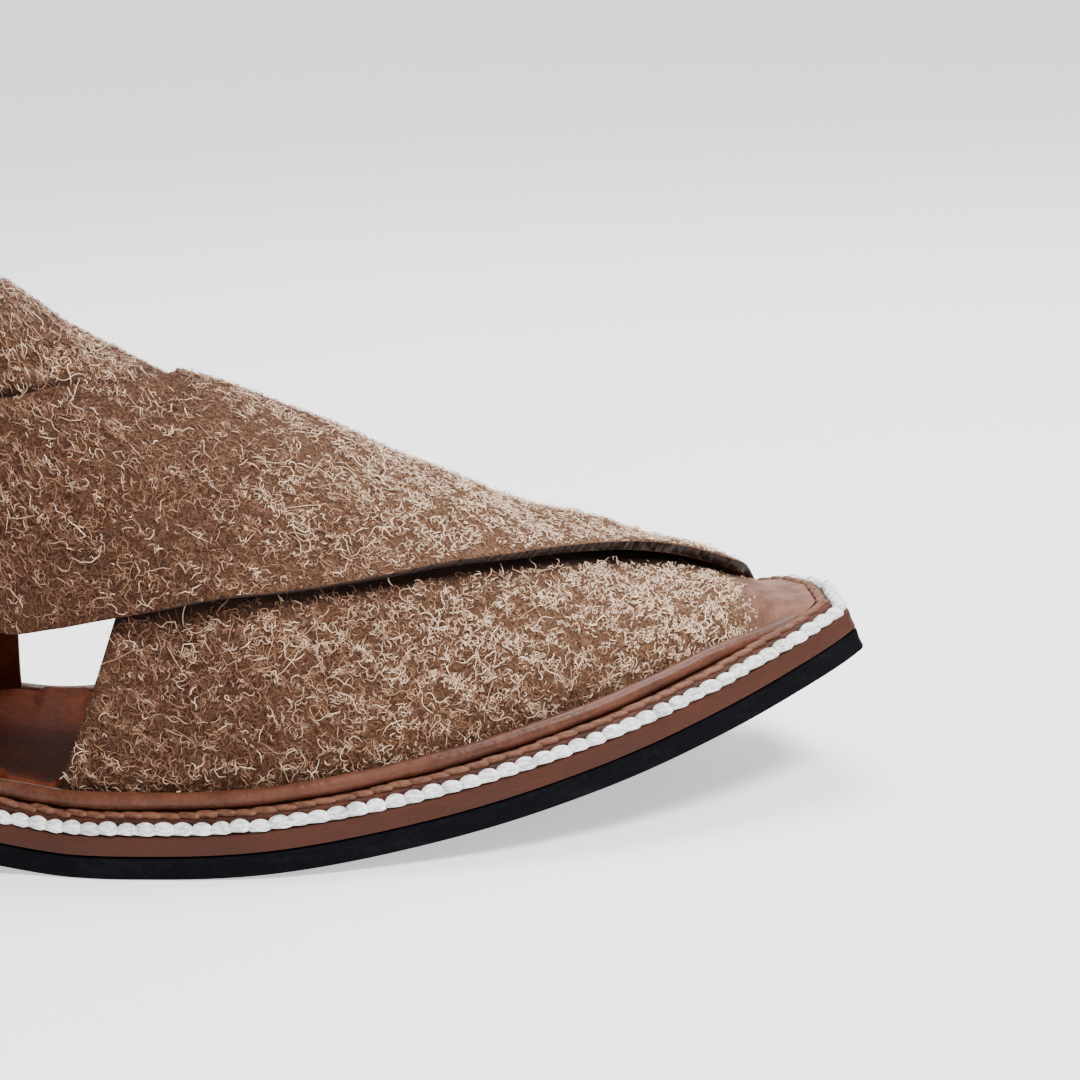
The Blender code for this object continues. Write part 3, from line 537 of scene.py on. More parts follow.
# %% [markdown]
# ## Sole and heel
# Sheets of leather and rubber are stacked and trimmed together, so their edges are flush
# and slightly rounded over by the rasp. Each layer is one stack of outlines.

# %% Sole layers
def layer(name, bottom, top, finish, edge, worn=0.00012):
    """One flush layer of the sole with rounded edges and a slightly hollow side."""
    rings = [
        ring(edge, TOE_CORNER, bottom),
        ring(edge * 0.3, TOE_CORNER, bottom + edge * 0.3),
        ring(0.0, TOE_CORNER, bottom + edge),
        ring(worn, TOE_CORNER, (bottom + top) / 2),
        ring(0.0, TOE_CORNER, top - edge),
        ring(edge * 0.3, TOE_CORNER, top - edge * 0.3),
        ring(edge, TOE_CORNER, top),
    ]
    return stack(name, rings, finish)


stands_for(layer("rubber_outsole", 0.0, OUTSOLE, RUBBER, 0.0004), "outsole_rubber", "outsole")
stands_for(layer("leather_midsole", MIDSOLE_BASE, MIDSOLE_TOP, EDGE_LEATHER, 0.0003),
           "sole_leather", "midsole")


def heel_layer(name, bottom, top, finish, edge=0.0003, steps=60):
    """One layer of the heel with a straight breast and rounded edges."""
    breast = HEEL_BREAST * LENGTH
    rings = []
    for depth, level in ((edge, bottom), (edge * 0.3, bottom + edge * 0.3), (0, bottom + edge),
                         (0, top - edge), (edge * 0.3, top - edge * 0.3), (edge, top)):
        arc = depth + (breast - 2 * depth) * (1 - np.cos(np.linspace(0, math.pi / 2, steps)))
        outer = half_width(-1, depth, TOE_CORNER, arc)
        inner = half_width(1, depth, TOE_CORNER, arc)
        near = np.stack([arc - ORIGIN_X, -outer - ORIGIN_Y, level + 0 * arc], axis=-1)
        far = np.stack([arc - ORIGIN_X, inner - ORIGIN_Y, level + 0 * arc], axis=-1)
        rings.append(np.concatenate([near, far[::-1]]))
    return stack(name, rings, finish)


LOW_LIFT = TOP_PIECE + GAP
LIFT_PITCH = (HEEL_RISE - LOW_LIFT) / 2
for name, bottom, top, finish, slot, node in (
        ("heel_rubber", 0.0, TOP_PIECE, RUBBER, "outsole_rubber", "heel_top_piece"),
        ("heel_leather_low", LOW_LIFT, LOW_LIFT + LIFT_PITCH - GAP, EDGE_LEATHER,
         "sole_leather", "heel_lift_lower"),
        ("heel_leather_high", LOW_LIFT + LIFT_PITCH, LOW_LIFT + 2 * LIFT_PITCH - GAP, EDGE_LEATHER,
         "sole_leather", "heel_lift_upper")):
    stands_for(heel_layer(name, bottom, top, finish), slot, node)

# %% [markdown]
# ## Welt, rand and footbed
# The welt is a dark strip whose top slopes outward. The rand is leather rolled over a
# cord. It is not a perfect tube: it swells and pinches a little between its stitches, and
# spreads where it meets the bare leather at the toe.

# %% Welt and rand
WELT_SECTION = (
    (0.00260, 0.0), (0.00260, 0.0014), (0.00275, 0.0018), (0.00320, 0.0021), (0.0045, 0.0023),
    (0.0080, 0.0023), (0.0080, 0.0),
)
FOLD_SECTION = ((0.0046, 0.0021), (0.0049, 0.0026), (0.0060, 0.0029), (0.0078, 0.0029), (0.0078, 0.0021))


def strip(name, section, sharp):
    """A strip of welt leather round the shoe, from insets and heights above the seat."""
    return hoop(name, [ring(d, INNER_CORNER, SEAT + h, 190) for d, h in section], WELT_LEATHER, sharp)


def tube_round(name, depth, height, radius, finish, around=14, steps=260):
    """A soft tube along the outline, its radius drifting a little, flatter at the toe."""
    line = ring(depth, INNER_CORNER, height, steps)
    along = unit(np.roll(line, -1, axis=0) - np.roll(line, 1, axis=0))
    side = unit(np.cross(along, (0.0, 0.0, 1.0)))
    up = np.cross(side, along)
    run = run_of(line)
    swell = 1 + 0.035 * np.sin(run / 0.0031) + 0.03 * np.sin(run / 0.0117 + 1.0)
    toe = ease(np.clip((line[:, 0] - 0.112) / 0.020, 0, 1))
    line = line - up * (0.0022 * toe)[:, None]
    wide = radius * swell * (1 + 0.10 * toe)
    tall = radius * swell * (1 - 0.25 * toe)
    rings = []
    for turn in np.linspace(0, 2 * math.pi, around, endpoint=False):
        across = side * (wide * math.cos(turn))[:, None]
        rings.append(line + across + up * (tall * math.sin(turn))[:, None])
    return hoop(name, rings, finish, 0)


stands_for(strip("welt_strip", WELT_SECTION, 50), "welt_leather", "welt")
rand = tube_round("leather_rand", BEAD_INSET, MIDSOLE_TOP + BEAD_HEIGHT, BEAD_RADIUS, RAND_LEATHER)
stands_for(rand, "welt_leather", "rolled_rand")

stands_for(strip("rand_fold", FOLD_SECTION, 60), "welt_leather")

# %% [markdown]
# ## Stitches
# The white stitches are thick and stand in a row like beads on the ledge of the midsole.
# The tan ones lie slanted on the welt like the strands of a rope. Both rows are one mesh
# each, repeated at the pitch that was measured from the photo.

# %% Rows of stitches
def even_places(line, pitch):
    """Places at an even pitch along a closed line, and the way that it runs there."""
    closed = np.concatenate([line, line[:1]])
    run = run_of(closed)
    count = round(run[-1] / pitch)
    at = (np.arange(count) + 0.5) * run[-1] / count
    here = between(at, run, closed)
    return here, unit(between(at + 1e-4, run, closed) - here)


def stitches(name, here, along, up, size, slant, finish, power=2.0, sunk=0.001, around=12, rings=7):
    """One mesh of blunt stitches (half length, width, height), flat below where they sink in."""
    side = np.cross(along, up)
    turn = math.radians(slant)
    lean = along * math.cos(turn) + side * math.sin(turn)
    side = np.cross(lean, up)
    points = []
    faces = []
    for i in range(len(here)):
        half = np.array(size) * (1 + 0.06 * chance.standard_normal(3).clip(-1.5, 1.5))
        shift = 0.00007 * chance.standard_normal(3)
        body = []
        for t in np.linspace(-0.96, 0.96, rings):
            tall = (1 - abs(t) ** power) ** (1 / power)
            wide = (1 - abs(t) ** (2 * power)) ** (0.5 / power)
            for angle in np.linspace(0, 2 * math.pi, around, endpoint=False):
                crest = 1 + 0.05 * math.cos(3 * (angle + 0.9 * t))
                lift = max(tall * crest * math.sin(angle) * half[2], -sunk)
                body.append(here[i] + shift + lean[i] * t * half[0]
                            + side[i] * wide * crest * math.cos(angle) * half[1] + up[i] * lift)
        start = len(points)
        points.extend(body)
        faces.append(tube_faces(rings, around) + start)
        for first in (start, start + (rings - 1) * around):
            faces.append(cap_faces(first, around))
    return outward(add_mesh(name, points, np.concatenate(faces), [finish]))


def stitch_row(name, depth, height, size, slant, finish, power, sunk=0.001):
    """Stitches round the whole shoe at the welt's pitch."""
    here, along = even_places(ring(depth, INNER_CORNER, height, 200), STITCH_PITCH)
    side = unit(np.cross(along, (0.0, 0.0, 1.0)))
    return stitches(name, here, along, np.cross(side, along), size, slant, finish, power, sunk)


STITCH_SLANT = 12
white = stitch_row("white_welt_stitches", 0.00128, SEAT + 0.00045, (0.00215, 0.00125, 0.00165),
                   STITCH_SLANT, WHITE_THREAD, 2.1, 0.0004)
stands_for(white, "white_thread", "welt_cord")
tan = stitch_row("tan_welt_stitches", 0.00400, SEAT + 0.00245, (0.00255, 0.00080, 0.00070),
                 STITCH_SLANT, TAN_THREAD, 2.8)
stands_for(tan, "welt_leather")

# %% [markdown]
# ## The last
# Both straps are pulled over the same last, so one function gives it: sections with a
# ridge height and a roundness, above a feather edge that follows the sole.

# %% Last
def feather_line():
    """Inner face of the wall, clear of the rand in front of it."""
    depth = FEATHER_INSET + WALL + GAP
    x = depth + (LENGTH - 2 * depth) * np.linspace(0, 1, 500)
    level = MIDSOLE_TOP + BEAD_HEIGHT
    outer = on_sole(x, -half_width(-1, depth, INNER_CORNER, x), level)
    inner = on_sole(x, half_width(1, depth, INNER_CORNER, x), level)
    return outer[:, 0], outer[:, 1], inner[:, 1]


FEATHER = feather_line()
SEAT_LINE = on_sole(EDGE_X, 0 * EDGE_X, SEAT)
RIDGE_Y = RIDGE_OFFSET - ORIGIN_Y


def seat_level(x):
    """Height of the seat above the ground."""
    return np.interp(x, SEAT_LINE[:, 0], SEAT_LINE[:, 2])


def last_point(station, around):
    """Point of the last at a station and an angle round it, in degrees."""
    x = station * LENGTH - ORIGIN_X
    outer = np.interp(x, FEATHER[0], FEATHER[1])
    inner = np.interp(x, FEATHER[0], FEATHER[2])
    height = INSTEP_HEIGHT * smooth(RIDGE, 1, station)
    roundness = smooth(RIDGE, 2, station)
    fullness = BALL_WIDTH * smooth(RIDGE, 3, station)
    angle = np.radians(np.clip(around, 0, 180))
    spread = np.abs(np.cos(angle)) ** (2 / roundness) * np.sign(np.cos(angle))
    reach = np.where(spread > 0, RIDGE_Y - outer, inner - RIDGE_Y)
    y = RIDGE_Y - spread * reach - fullness * np.sin(2 * angle)
    z = seat_level(x) + height * np.sin(angle) ** (2 / roundness)
    return np.stack([x + 0 * y, y, z], axis=-1)


ROWS, DRAPE_ROWS, COLUMNS = 270, 24, 172
DENSE = np.concatenate([[0], np.geomspace(0.02, 3, 40), np.linspace(3, 177, 320)[1:-1],
                        180 - np.geomspace(0.02, 3, 40)[::-1], [180]])


def last_grid():
    """Stations and angles of a grid with even steps along and round the last."""
    station = np.concatenate([np.linspace(EAR_END, DRAPE_START, ROWS - DRAPE_ROWS),
                              np.linspace(DRAPE_START, SHELL_TOE, DRAPE_ROWS + 1)[1:]])
    angle = np.empty((ROWS, COLUMNS))
    for i, s in enumerate(station):
        line = last_point(np.full(len(DENSE), s), DENSE)
        run = run_of(line)
        angle[i] = np.interp(np.linspace(0, run[-1], COLUMNS), run, DENSE)
    return np.repeat(station[:, None], COLUMNS, axis=1), angle


STATION, AROUND = last_grid()
print("last grid %d by %d" % (ROWS, COLUMNS))

# %% [markdown]
# ## Cutting the straps
# Each strap is the part of the last's skin where a few edge curves say "inside". The
# curves give a distance to the nearest edge. Points that fall just outside are slid onto
# the edge, so the cut is clean, and the same distance later rounds the edge over and
# lifts the lap off the strap below.

# %% Edge curves of the straps
LOWER_REAR = (
    (0.200, -20.0, 158.0), (0.303, -20.0, 156.2), (0.345, -20.0, 148.0), (0.370, -20.0, 135.0),
    (0.390, -20.0, 112.0), (0.402, -20.0, 94.0), (0.406, -20.0, 30.0), (0.440, -20.0, 33.0),
    (0.476, -1.0, 34.0), (0.478, 1.2, 34.0), (0.489, 6.5, 33.5), (0.497, 10.5, 33.0),
    (0.507, 15.8, 32.0), (0.520, 24.5, 31.0), (0.526, 29.3, 30.0), (0.532, 36.0, 24.0),
    (0.600, 120.0, -60.0), (1.100, 300.0, -90.0),
)
LOWER_SIDE = (
    (0.200, 168.0), (0.303, 166.4), (0.330, 164.9), (0.360, 163.3), (0.400, 161.4), (0.453, 161.0),
    (0.522, 154.0), (0.577, 148.0), (0.633, 143.5), (0.695, 135.0), (0.759, 127.0), (0.820, 133.0),
    (0.880, 146.0), (0.910, 156.0), (0.928, 170.0), (0.9365, 179.5), (0.940, 190.0), (1.000, 260.0),
)
UPPER_FRONT = (
    (0.200, 10.0), (0.303, 13.6), (0.330, 15.1), (0.360, 16.7), (0.400, 18.6), (0.453, 19.5),
    (0.491, 23.0), (0.522, 26.3), (0.577, 32.0), (0.633, 37.0), (0.695, 45.0), (0.759, 55.0),
    (0.826, 69.0), (0.867, 77.5), (0.894, 83.0), (0.914, 90.5), (0.9245, 104.0), (0.930, 126.0),
    (0.9332, 156.0), (0.9345, 178.0), (0.938, 230.0), (1.000, 900.0),
)
UPPER_REAR = (
    (0.200, 20.0, 200.0), (0.303, 23.8, 200.0), (0.330, 27.3, 200.0), (0.360, 32.6, 200.0),
    (0.400, 42.0, 200.0), (0.430, 48.5, 200.0), (0.456, 53.0, 200.0), (0.476, 58.0, 182.0),
    (0.479, 59.0, 178.0), (0.489, 62.0, 173.5), (0.504, 66.0, 165.0), (0.520, 70.0, 155.5),
    (0.535, 75.0, 140.0), (0.548, 81.5, 116.0), (0.556, 89.0, 91.0), (0.562, 98.0, 76.0),
    (0.620, 170.0, -20.0), (1.100, 400.0, -90.0),
)


def lower_inside(s, a):
    """Positive inside the lower strap, in degrees round the last."""
    rear = np.maximum(a - smooth(LOWER_REAR, 2, s), smooth(LOWER_REAR, 1, s) - a)
    return np.minimum(rear, smooth(LOWER_SIDE, 1, s) - a)


def front_of_upper(s, a):
    return a - smooth(UPPER_FRONT, 1, s)


def upper_inside(s, a):
    """Positive inside the upper strap."""
    rear = np.maximum(smooth(UPPER_REAR, 1, s) - a, a - smooth(UPPER_REAR, 2, s))
    return np.minimum(front_of_upper(s, a), rear)


def slopes(inside, s, a):
    """How the inside value changes along and round the last, per metre."""
    d_s, d_a = 0.0008, 0.25
    size_s = np.linalg.norm(last_point(s + d_s, a) - last_point(s - d_s, a), axis=-1) / (2 * d_s)
    low, high = np.clip(a - d_a, 0, 180), np.clip(a + d_a, 0, 180)
    size_a = np.linalg.norm(last_point(s, high) - last_point(s, low), axis=-1) / (high - low)
    g_s = (inside(s + d_s, a) - inside(s - d_s, a)) / (2 * d_s)
    g_a = (inside(s, a + d_a) - inside(s, a - d_a)) / (2 * d_a)
    steep = np.sqrt((g_s / size_s) ** 2 + (g_a / size_a) ** 2)
    return g_s / size_s ** 2, g_a / size_a ** 2, np.maximum(steep, 1.0)


def distance(inside, s, a):
    """Metres inside the nearest edge, along the leather."""
    return inside(s, a) / slopes(inside, s, a)[2]


def cut_out(inside, pitch=0.0011):
    """Grid of stations and angles with its border slid onto the edge, and the cells kept."""
    s, a = STATION.copy(), AROUND.copy()
    for _ in range(4):
        m_s, m_a, steep = slopes(inside, s, a)
        value = inside(s, a)
        slide = (value < 0) & (value / steep > -pitch)
        s = np.where(slide, np.clip(s - value * m_s / steep ** 2, EAR_END, SHELL_TOE), s)
        a = np.where(slide, np.clip(a - value * m_a / steep ** 2, 0, 180), a)
    good = distance(inside, s, a) > -0.00012
    cell = good[:-1, :-1] & good[1:, :-1] & good[1:, 1:] & good[:-1, 1:]
    return s, a, cell


print("edge curves ready")

# %% Leather sheet
def frame_of(s, a):
    """Points of the last and the way out of it, smoothed over a few millimetres."""
    d_s = 0.004
    low = np.clip(a - 2, 0.4, 175.6)
    across = last_point(s, low + 4) - last_point(s, low)
    along = last_point(s + d_s, a) - last_point(s - d_s, a)
    return last_point(s, a), unit(np.cross(along, across))


def lap_lift(s, a):
    """How far the upper strap stands off the last over the lower one."""
    edge = smooth(LOWER_SIDE, 1, s)
    fall = np.clip((180 - a) / np.maximum(180 - edge, LAP_RUN), 0, 1)
    return (WALL - LAP_SINK) * ease(fall)


def waves(point, size, seed):
    """Smooth hills and hollows over the leather, about -1 to 1."""
    rng = np.random.default_rng(seed)
    total = 0
    for _ in range(9):
        way = unit(rng.standard_normal(3))
        pace = 2 * math.pi / (size * rng.uniform(0.7, 1.5))
        total = total + np.sin(point @ way * pace + rng.uniform(0, 6.28))
    return total / 3.0


EDGE_ROUNDING = 0.0009


def leather_sheet(name, inside, lift_of, finishes, drape=None):
    """A strap: two faces of a sheet on the last, joined round a rounded edge."""
    s, a, cell = cut_out(inside)
    point, out = frame_of(s, a)
    inwards = np.clip(distance(inside, s, a), 0, None)
    foot = np.minimum(a, 180 - a) < 0.01
    inwards = np.where(foot, EDGE_ROUNDING, inwards)
    lift = lift_of(s, a, point, inwards)
    full = np.clip(inwards / EDGE_ROUNDING, 0, 1)
    half = WALL / 2 * np.maximum(np.sqrt(1 - (1 - full) ** 2), 0.80)
    low = point + out * (lift + WALL / 2 - half)[..., None]
    high = point + out * (lift + WALL / 2 + half)[..., None]
    high[..., 2] = np.maximum(high[..., 2], seat_level(high[..., 0]))
    if drape:
        high, low = drape(s, high, low)
    index = np.arange(s.size).reshape(s.shape)
    quads = grid_quads(index)[cell]
    sides = np.concatenate([quads[:, [k, (k + 1) % 4]] for k in range(4)])
    key = np.sort(sides, axis=1)
    _, first, counts = np.unique(key, axis=0, return_index=True, return_counts=True)
    rim = sides[first[counts == 1]]
    total = s.size
    walls = np.stack([rim[:, 1], rim[:, 0], rim[:, 0] + total, rim[:, 1] + total], axis=-1)
    faces = np.concatenate([quads, quads[:, ::-1] + total, walls])
    used, flat = np.unique(faces, return_inverse=True)
    points = np.concatenate([high.reshape(-1, 3), low.reshape(-1, 3)])[used]
    slots = np.repeat([0, 1, 2], [len(quads), len(quads), len(rim)])
    thing = outward(add_mesh(name, points, flat.reshape(-1, 4), finishes, slots))
    # Marks for the finish: painted light high up and towards the toe, bare leather at the tip, and painted
    # shade along the upper strap's edge.
    marks = {"wear": painted_light_of(s, a), "bare": bare_of(s), "lap": painted_lap_shade(s, a) * bool(drape)}
    for mark, values in marks.items():
        mark_points(thing, mark, np.concatenate([values.ravel()] * 2)[used])
    return thing, {"s": s, "a": a, "point": high, "out": out, "inside": distance(inside, s, a)}


def painted_light_of(s, a):
    """Painted light: lighter tan high on the straps and towards the toe."""
    high = np.sin(np.radians(np.clip(a, 0, 180))) ** 2
    toe = np.clip((s - 0.50) / 0.40, 0, 1)
    return np.clip(0.55 * high * np.clip((s - 0.38) / 0.35, 0, 1) + 0.75 * toe ** 1.5, 0, 1)


def painted_lap_shade(s, a):
    """Painted shade under the lap and in a band just outside its edge, where the upper strap shades the lower
    one.
    """
    under = np.clip(1.0 + (distance(upper_inside, s, a) + 0.0006) / 0.0024, 0, 1)
    return under * np.clip((0.935 - s) / 0.01, 0, 1)


def bare_of(s):
    """Smooth leather at the tip of the toe, where the hair is worn off."""
    return np.clip((s - 0.915) / 0.02, 0, 1)


EDGE_LIFT = (
    (0.20, 0.0), (0.44, 0.0010), (0.50, 0.0026), (0.54, 0.0027), (0.60, 0.0021), (0.66, 0.0015),
    (0.72, 0.0020), (0.80, 0.0018), (0.88, 0.0017), (0.925, 0.0007), (1.00, 0.0),
)


def off_the_foot(a):
    """0 where the leather meets the rand, 1 from 8 degrees above it."""
    return np.clip(np.minimum(a, 180 - a) / 8, 0, 1)


def lower_lift(s, a, point, inwards):
    """Soft hills that die out at the edges."""
    hills = 0.00035 * waves(point, 0.024, 3)
    return hills * np.clip(inwards / 0.006, 0, 1) * off_the_foot(a)


def upper_lift(s, a, point, inwards):
    """Off the lower strap, lifted along its free edge, with soft hills."""
    lap = lap_lift(s, a) * (WALL + 0.0001) / (WALL - LAP_SINK)
    near = np.exp(-np.clip(distance(front_of_upper, s, a), 0, None) / 0.005)
    hills = 0.00045 * waves(point, 0.022, 5) * off_the_foot(a)
    return lap + (smooth(EDGE_LIFT, 1, s) * near + hills) * np.clip(lap / WALL, 0, 1)


# %% [markdown]
# At the very tip the hair is shaved off and the leather of the lower strap is drawn down
# over the rand to the welt. The front rows of the strap's own grid are laid along that
# fall, so that there is no seam.

# %% Straps on the last
DRAPE_WALL = 0.0009


def toe_drape(s, high, low):
    """Lay the front of the lower strap down to the welt, steep first and then nearly flat."""
    row = np.searchsorted(STATION[:, 0], DRAPE_START)
    line = ring(0.0049, INNER_CORNER, SEAT + 0.0030, 300)
    line = line[line[:, 0] > high[row, :, 0].max()]
    run, start = run_of(line), run_of(high[row])
    end = between(start / start[-1] * run[-1], run, line)
    high, low = high.copy(), low.copy()
    for i in range(row, len(s)):
        t = (STATION[i, 0] - DRAPE_START) / (SHELL_TOE - DRAPE_START)
        fall = ease(np.clip((t - 0.06) / 0.44, 0, 1))
        high[i, :, :2] = high[row, :, :2] * (1 - t) + end[:, :2] * t
        high[i, :, 2] = high[row, :, 2] * (1 - fall) + (end[:, 2] + 0.0003 * (1 - t)) * fall
        low[i, :, :2] = low[row, :, :2] * (1 - t) + end[:, :2] * t
        low[i, :, 2] = low[row, :, 2] * (1 - fall) + (end[:, 2] - DRAPE_WALL) * fall
    return high, low


STRAP_FACES = [SUEDE, LINING, CUT_EDGE]
under, UNDER = leather_sheet("lower_strap", lower_inside, lower_lift, STRAP_FACES, toe_drape)
over, OVER = leather_sheet("upper_strap", upper_inside, upper_lift, STRAP_FACES)
stands_for(under, "rough_suede", "upper")
stands_for(over, "rough_suede")

# %% [markdown]
# ## Heel counter and footbed
# The counter is a moulded piece of the same rough leather round the heel. The footbed is
# smooth oiled leather, dished by the foot, whose edges rise to the rand where the sides
# are open.

# %% Heel counter
COUNTER_SIDE = ((0.00, 0.00), (0.14, 0.00), (0.38, 0.95), (0.62, 1.00), (1.00, 0.30))
COUNTER_TOP = ((0.000, 1.00), (0.070, 0.98), (0.150, 0.85), (0.240, 0.60), (0.330, 0.49), (0.400, 0.43),
               (0.4293, 0.36))


def two_faced(name, low, high, finishes):
    """A closed sheet between two grids: outer face, inner face and cut edge."""
    rows, columns = high.shape[:2]
    index = np.arange(rows * columns).reshape(rows, columns)
    quads = grid_quads(index).reshape(-1, 4)
    border = np.concatenate([index[0, :-1], index[:-1, -1], index[-1, :0:-1], index[:0:-1, 0]])
    after = np.roll(border, -1)
    total = rows * columns
    rim = np.stack([border, after, after + total, border + total], axis=-1)
    slots = np.repeat([0, 1, 2], [len(quads), len(quads), len(rim)])
    points = np.concatenate([high.reshape(-1, 3), low.reshape(-1, 3)])
    faces = np.concatenate([quads, quads[:, ::-1] + total, rim])
    return outward(add_mesh(name, points, faces, finishes, slots))


def counter_face(extra, steps=130, rows=34):
    """Grid of points round the heel, at a depth inside the counter's outer face."""
    share = np.sin(np.linspace(0, math.pi / 2, steps // 2)) ** 2
    front = COUNTER_FRONT * LENGTH
    top_x = FEATHER_INSET + (front - FEATHER_INSET) * share
    top = COUNTER_HEIGHT * smooth(COUNTER_TOP, 1, top_x / LENGTH)
    insets = np.linspace(FEATHER_INSET - COUNTER_BULGE, FEATHER_INSET, 8) + extra
    widths = {side: np.array([half_width(side, d, INNER_CORNER, d + (front - d) * share) for d in insets])
              for side in (-1, 1)}
    grid = []
    for level in np.linspace(0, 1, rows):
        bulge = COUNTER_BULGE * smooth(COUNTER_SIDE, 1, level * top / COUNTER_HEIGHT)
        depth = FEATHER_INSET - bulge + extra
        x = depth + (front - depth) * share
        height = seat_level(x - ORIGIN_X) + level * top
        sides = []
        for side in (-1, 1):
            y = side * np.array([np.interp(d, insets, column) for d, column in zip(depth, widths[side].T)])
            sides.append(np.stack([x - ORIGIN_X, y - ORIGIN_Y, height], axis=-1))
        grid.append(np.concatenate([sides[0][::-1], sides[1][1:]]))
    return np.array(grid)


outer_face, inner_face = counter_face(0.0), counter_face(COUNTER_WALL)
middle = (outer_face + inner_face) / 2
borders = (middle[-1:], middle[:, :1], middle[:, -1:])
to_edge = np.min([np.linalg.norm(middle - border, axis=-1) for border in borders], axis=0)
full = np.maximum(np.sqrt(1 - (1 - np.clip(to_edge / 0.0013, 0, 1)) ** 2), 0.62)[..., None]
outer_face = middle + (outer_face - middle) * full
inner_face = middle + (inner_face - middle) * full
counter = two_faced("moulded_counter", inner_face, outer_face, [SUEDE, FOOTBED, CUT_EDGE])
stands_for(counter, "rough_suede", "heel_counter")
away = unit(np.cross(np.gradient(outer_face, axis=1), np.gradient(outer_face, axis=0)))
away *= np.sign(np.sum(away * (outer_face - inner_face), axis=2, keepdims=True))
ROUND_HEEL = {"point": outer_face, "out": away, "inside": to_edge - 0.0006}


# %% Footbed
def room(side, x, height):
    """Half width of the last at a height above the seat."""
    at = on_sole(x, 0 * x, SEAT + height)[:, 0]
    station = (at + ORIGIN_X) / LENGTH
    roundness = smooth(RIDGE, 2, station)
    share = height / (INSTEP_HEIGHT * smooth(RIDGE, 1, station))
    spread = np.clip(1 - share ** roundness, 0, 1) ** (1 / roundness)
    foot = np.interp(at, FEATHER[0], FEATHER[1 if side < 0 else 2])
    return side * RIDGE_OFFSET + spread * np.abs(foot - RIDGE_Y)


def make_footbed(steps=210, across=36):
    """Dished footbed, its edges raised to the rand in the open waist."""
    thick, front = FOOTBED_THICKNESS, FOOTBED_FRONT * LENGTH
    walls = FEATHER_INSET + COUNTER_WALL + GAP
    waist = (COUNTER_FRONT * LENGTH + 0.0006, WAIST_FRONT * LENGTH - 0.0012)
    x = walls + (front - walls) * (1 - np.cos(np.linspace(0, math.pi / 2, 40))) * 0.3
    x = np.concatenate([x[:-1], np.linspace(x[-1], front, steps)])
    opened = ease(np.clip(np.minimum(x - waist[0], waist[1] - x) / 0.0010, 0, 1))
    near = ease(np.clip(1.9 - np.abs(x - sum(waist) / 2) / 0.011, 0, 1))
    rise = (0.0008 + 0.0026 * near) * np.clip((0.60 * LENGTH - x) / 0.02, 0, 1)
    share = np.sin(np.linspace(-math.pi / 2, math.pi / 2, across))
    lip = np.clip((np.abs(share) - 0.50) / 0.50, 0, 1) ** 2
    top = []
    for v, up_edge in zip(share, lip):
        side = -1 if v < 0 else 1
        narrow = np.minimum(half_width(side, walls, INNER_CORNER, x),
                            room(side, x, thick + 0.0010) - 0.0005)
        half = narrow + (half_width(side, FEATHER_INSET - 0.0004, INNER_CORNER, x) - narrow) * opened
        dish = 0.0010 * np.clip(1 - np.abs(x - 0.62 * LENGTH) / 0.05, 0, 1) + 0.0006
        height = SEAT + thick + rise * up_edge - dish * (1 - v * v)
        top.append(on_sole(x, v * half, height))
    top = np.array(top)
    bottom = np.array([on_sole(x, (row[:, 1] + ORIGIN_Y) * 0.96, SEAT) for row in top])
    return two_faced("dished_footbed", bottom, top, [FOOTBED] * 3)


stands_for(make_footbed(), "footbed_leather", "insole")

# %% [markdown]
# ## Ankle strap and buckle
# These solids have the right shape but sharp edges. A remesh into small cells and a few
# rounds of smoothing round them over, as wear does with leather and polish with brass.

# %% Ankle strap, keeper and buckle
def rounded_copy(node, name, cell, rounds, finish, slot):
    """A copy of a CAD node with its edges rounded over."""
    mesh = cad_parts[node].data.copy()
    mesh.name = name
    thing = bpy.data.objects.new(name, mesh)
    bpy.context.scene.collection.objects.link(thing)
    fine = thing.modifiers.new("cells", "REMESH")
    fine.mode = "VOXEL"
    fine.voxel_size = cell
    soften = thing.modifiers.new("soften", "SMOOTH")
    soften.factor = 0.5
    soften.iterations = rounds
    view = bpy.context.evaluated_depsgraph_get()
    made = bpy.data.meshes.new_from_object(thing.evaluated_get(view))
    thing.modifiers.clear()
    thing.data = made
    made.materials.clear()
    made.materials.append(finish)
    made.shade_smooth()
    return stands_for(thing, slot, node)


STRAP_LEVEL = HEEL_RISE + SEAT + STRAP_HEIGHT


def ear_frame(side, x):
    """A place on an ear: its point on the last, then the ways to the heel, up and outward."""
    station = (x + ORIGIN_X) / LENGTH
    share = (STRAP_LEVEL - seat_level(x)) / (INSTEP_HEIGHT * smooth(RIDGE, 1, station))
    angle = np.degrees(np.arcsin(share ** (smooth(RIDGE, 2, station) / 2)))
    origin, out = frame_of(np.array(station), np.array(angle if side < 0 else 180 - angle))
    along = unit(np.array([-out[1], out[0], 0.0]))
    along *= -np.sign(along[0])
    up = np.cross(along, out)
    return origin, along, up * np.sign(up[2]), out


def through(rows, steps=8):
    """A smooth curve through all rows, with that many points from one row to the next."""
    padded = np.concatenate([2 * rows[:1] - rows[1:2], rows, 2 * rows[-1:] - rows[-2:-1]])
    a, b, c, d = (padded[k:k + len(rows) - 1, None] for k in range(4))
    t = np.linspace(0, 1, steps, endpoint=False)[None, :, None]
    square = (2 * a - 5 * b + 4 * c - d) * t ** 2
    cube = (3 * b - a - 3 * c + d) * t ** 3
    return (2 * b + (c - a) * t + square + cube).reshape(-1, 3) / 2


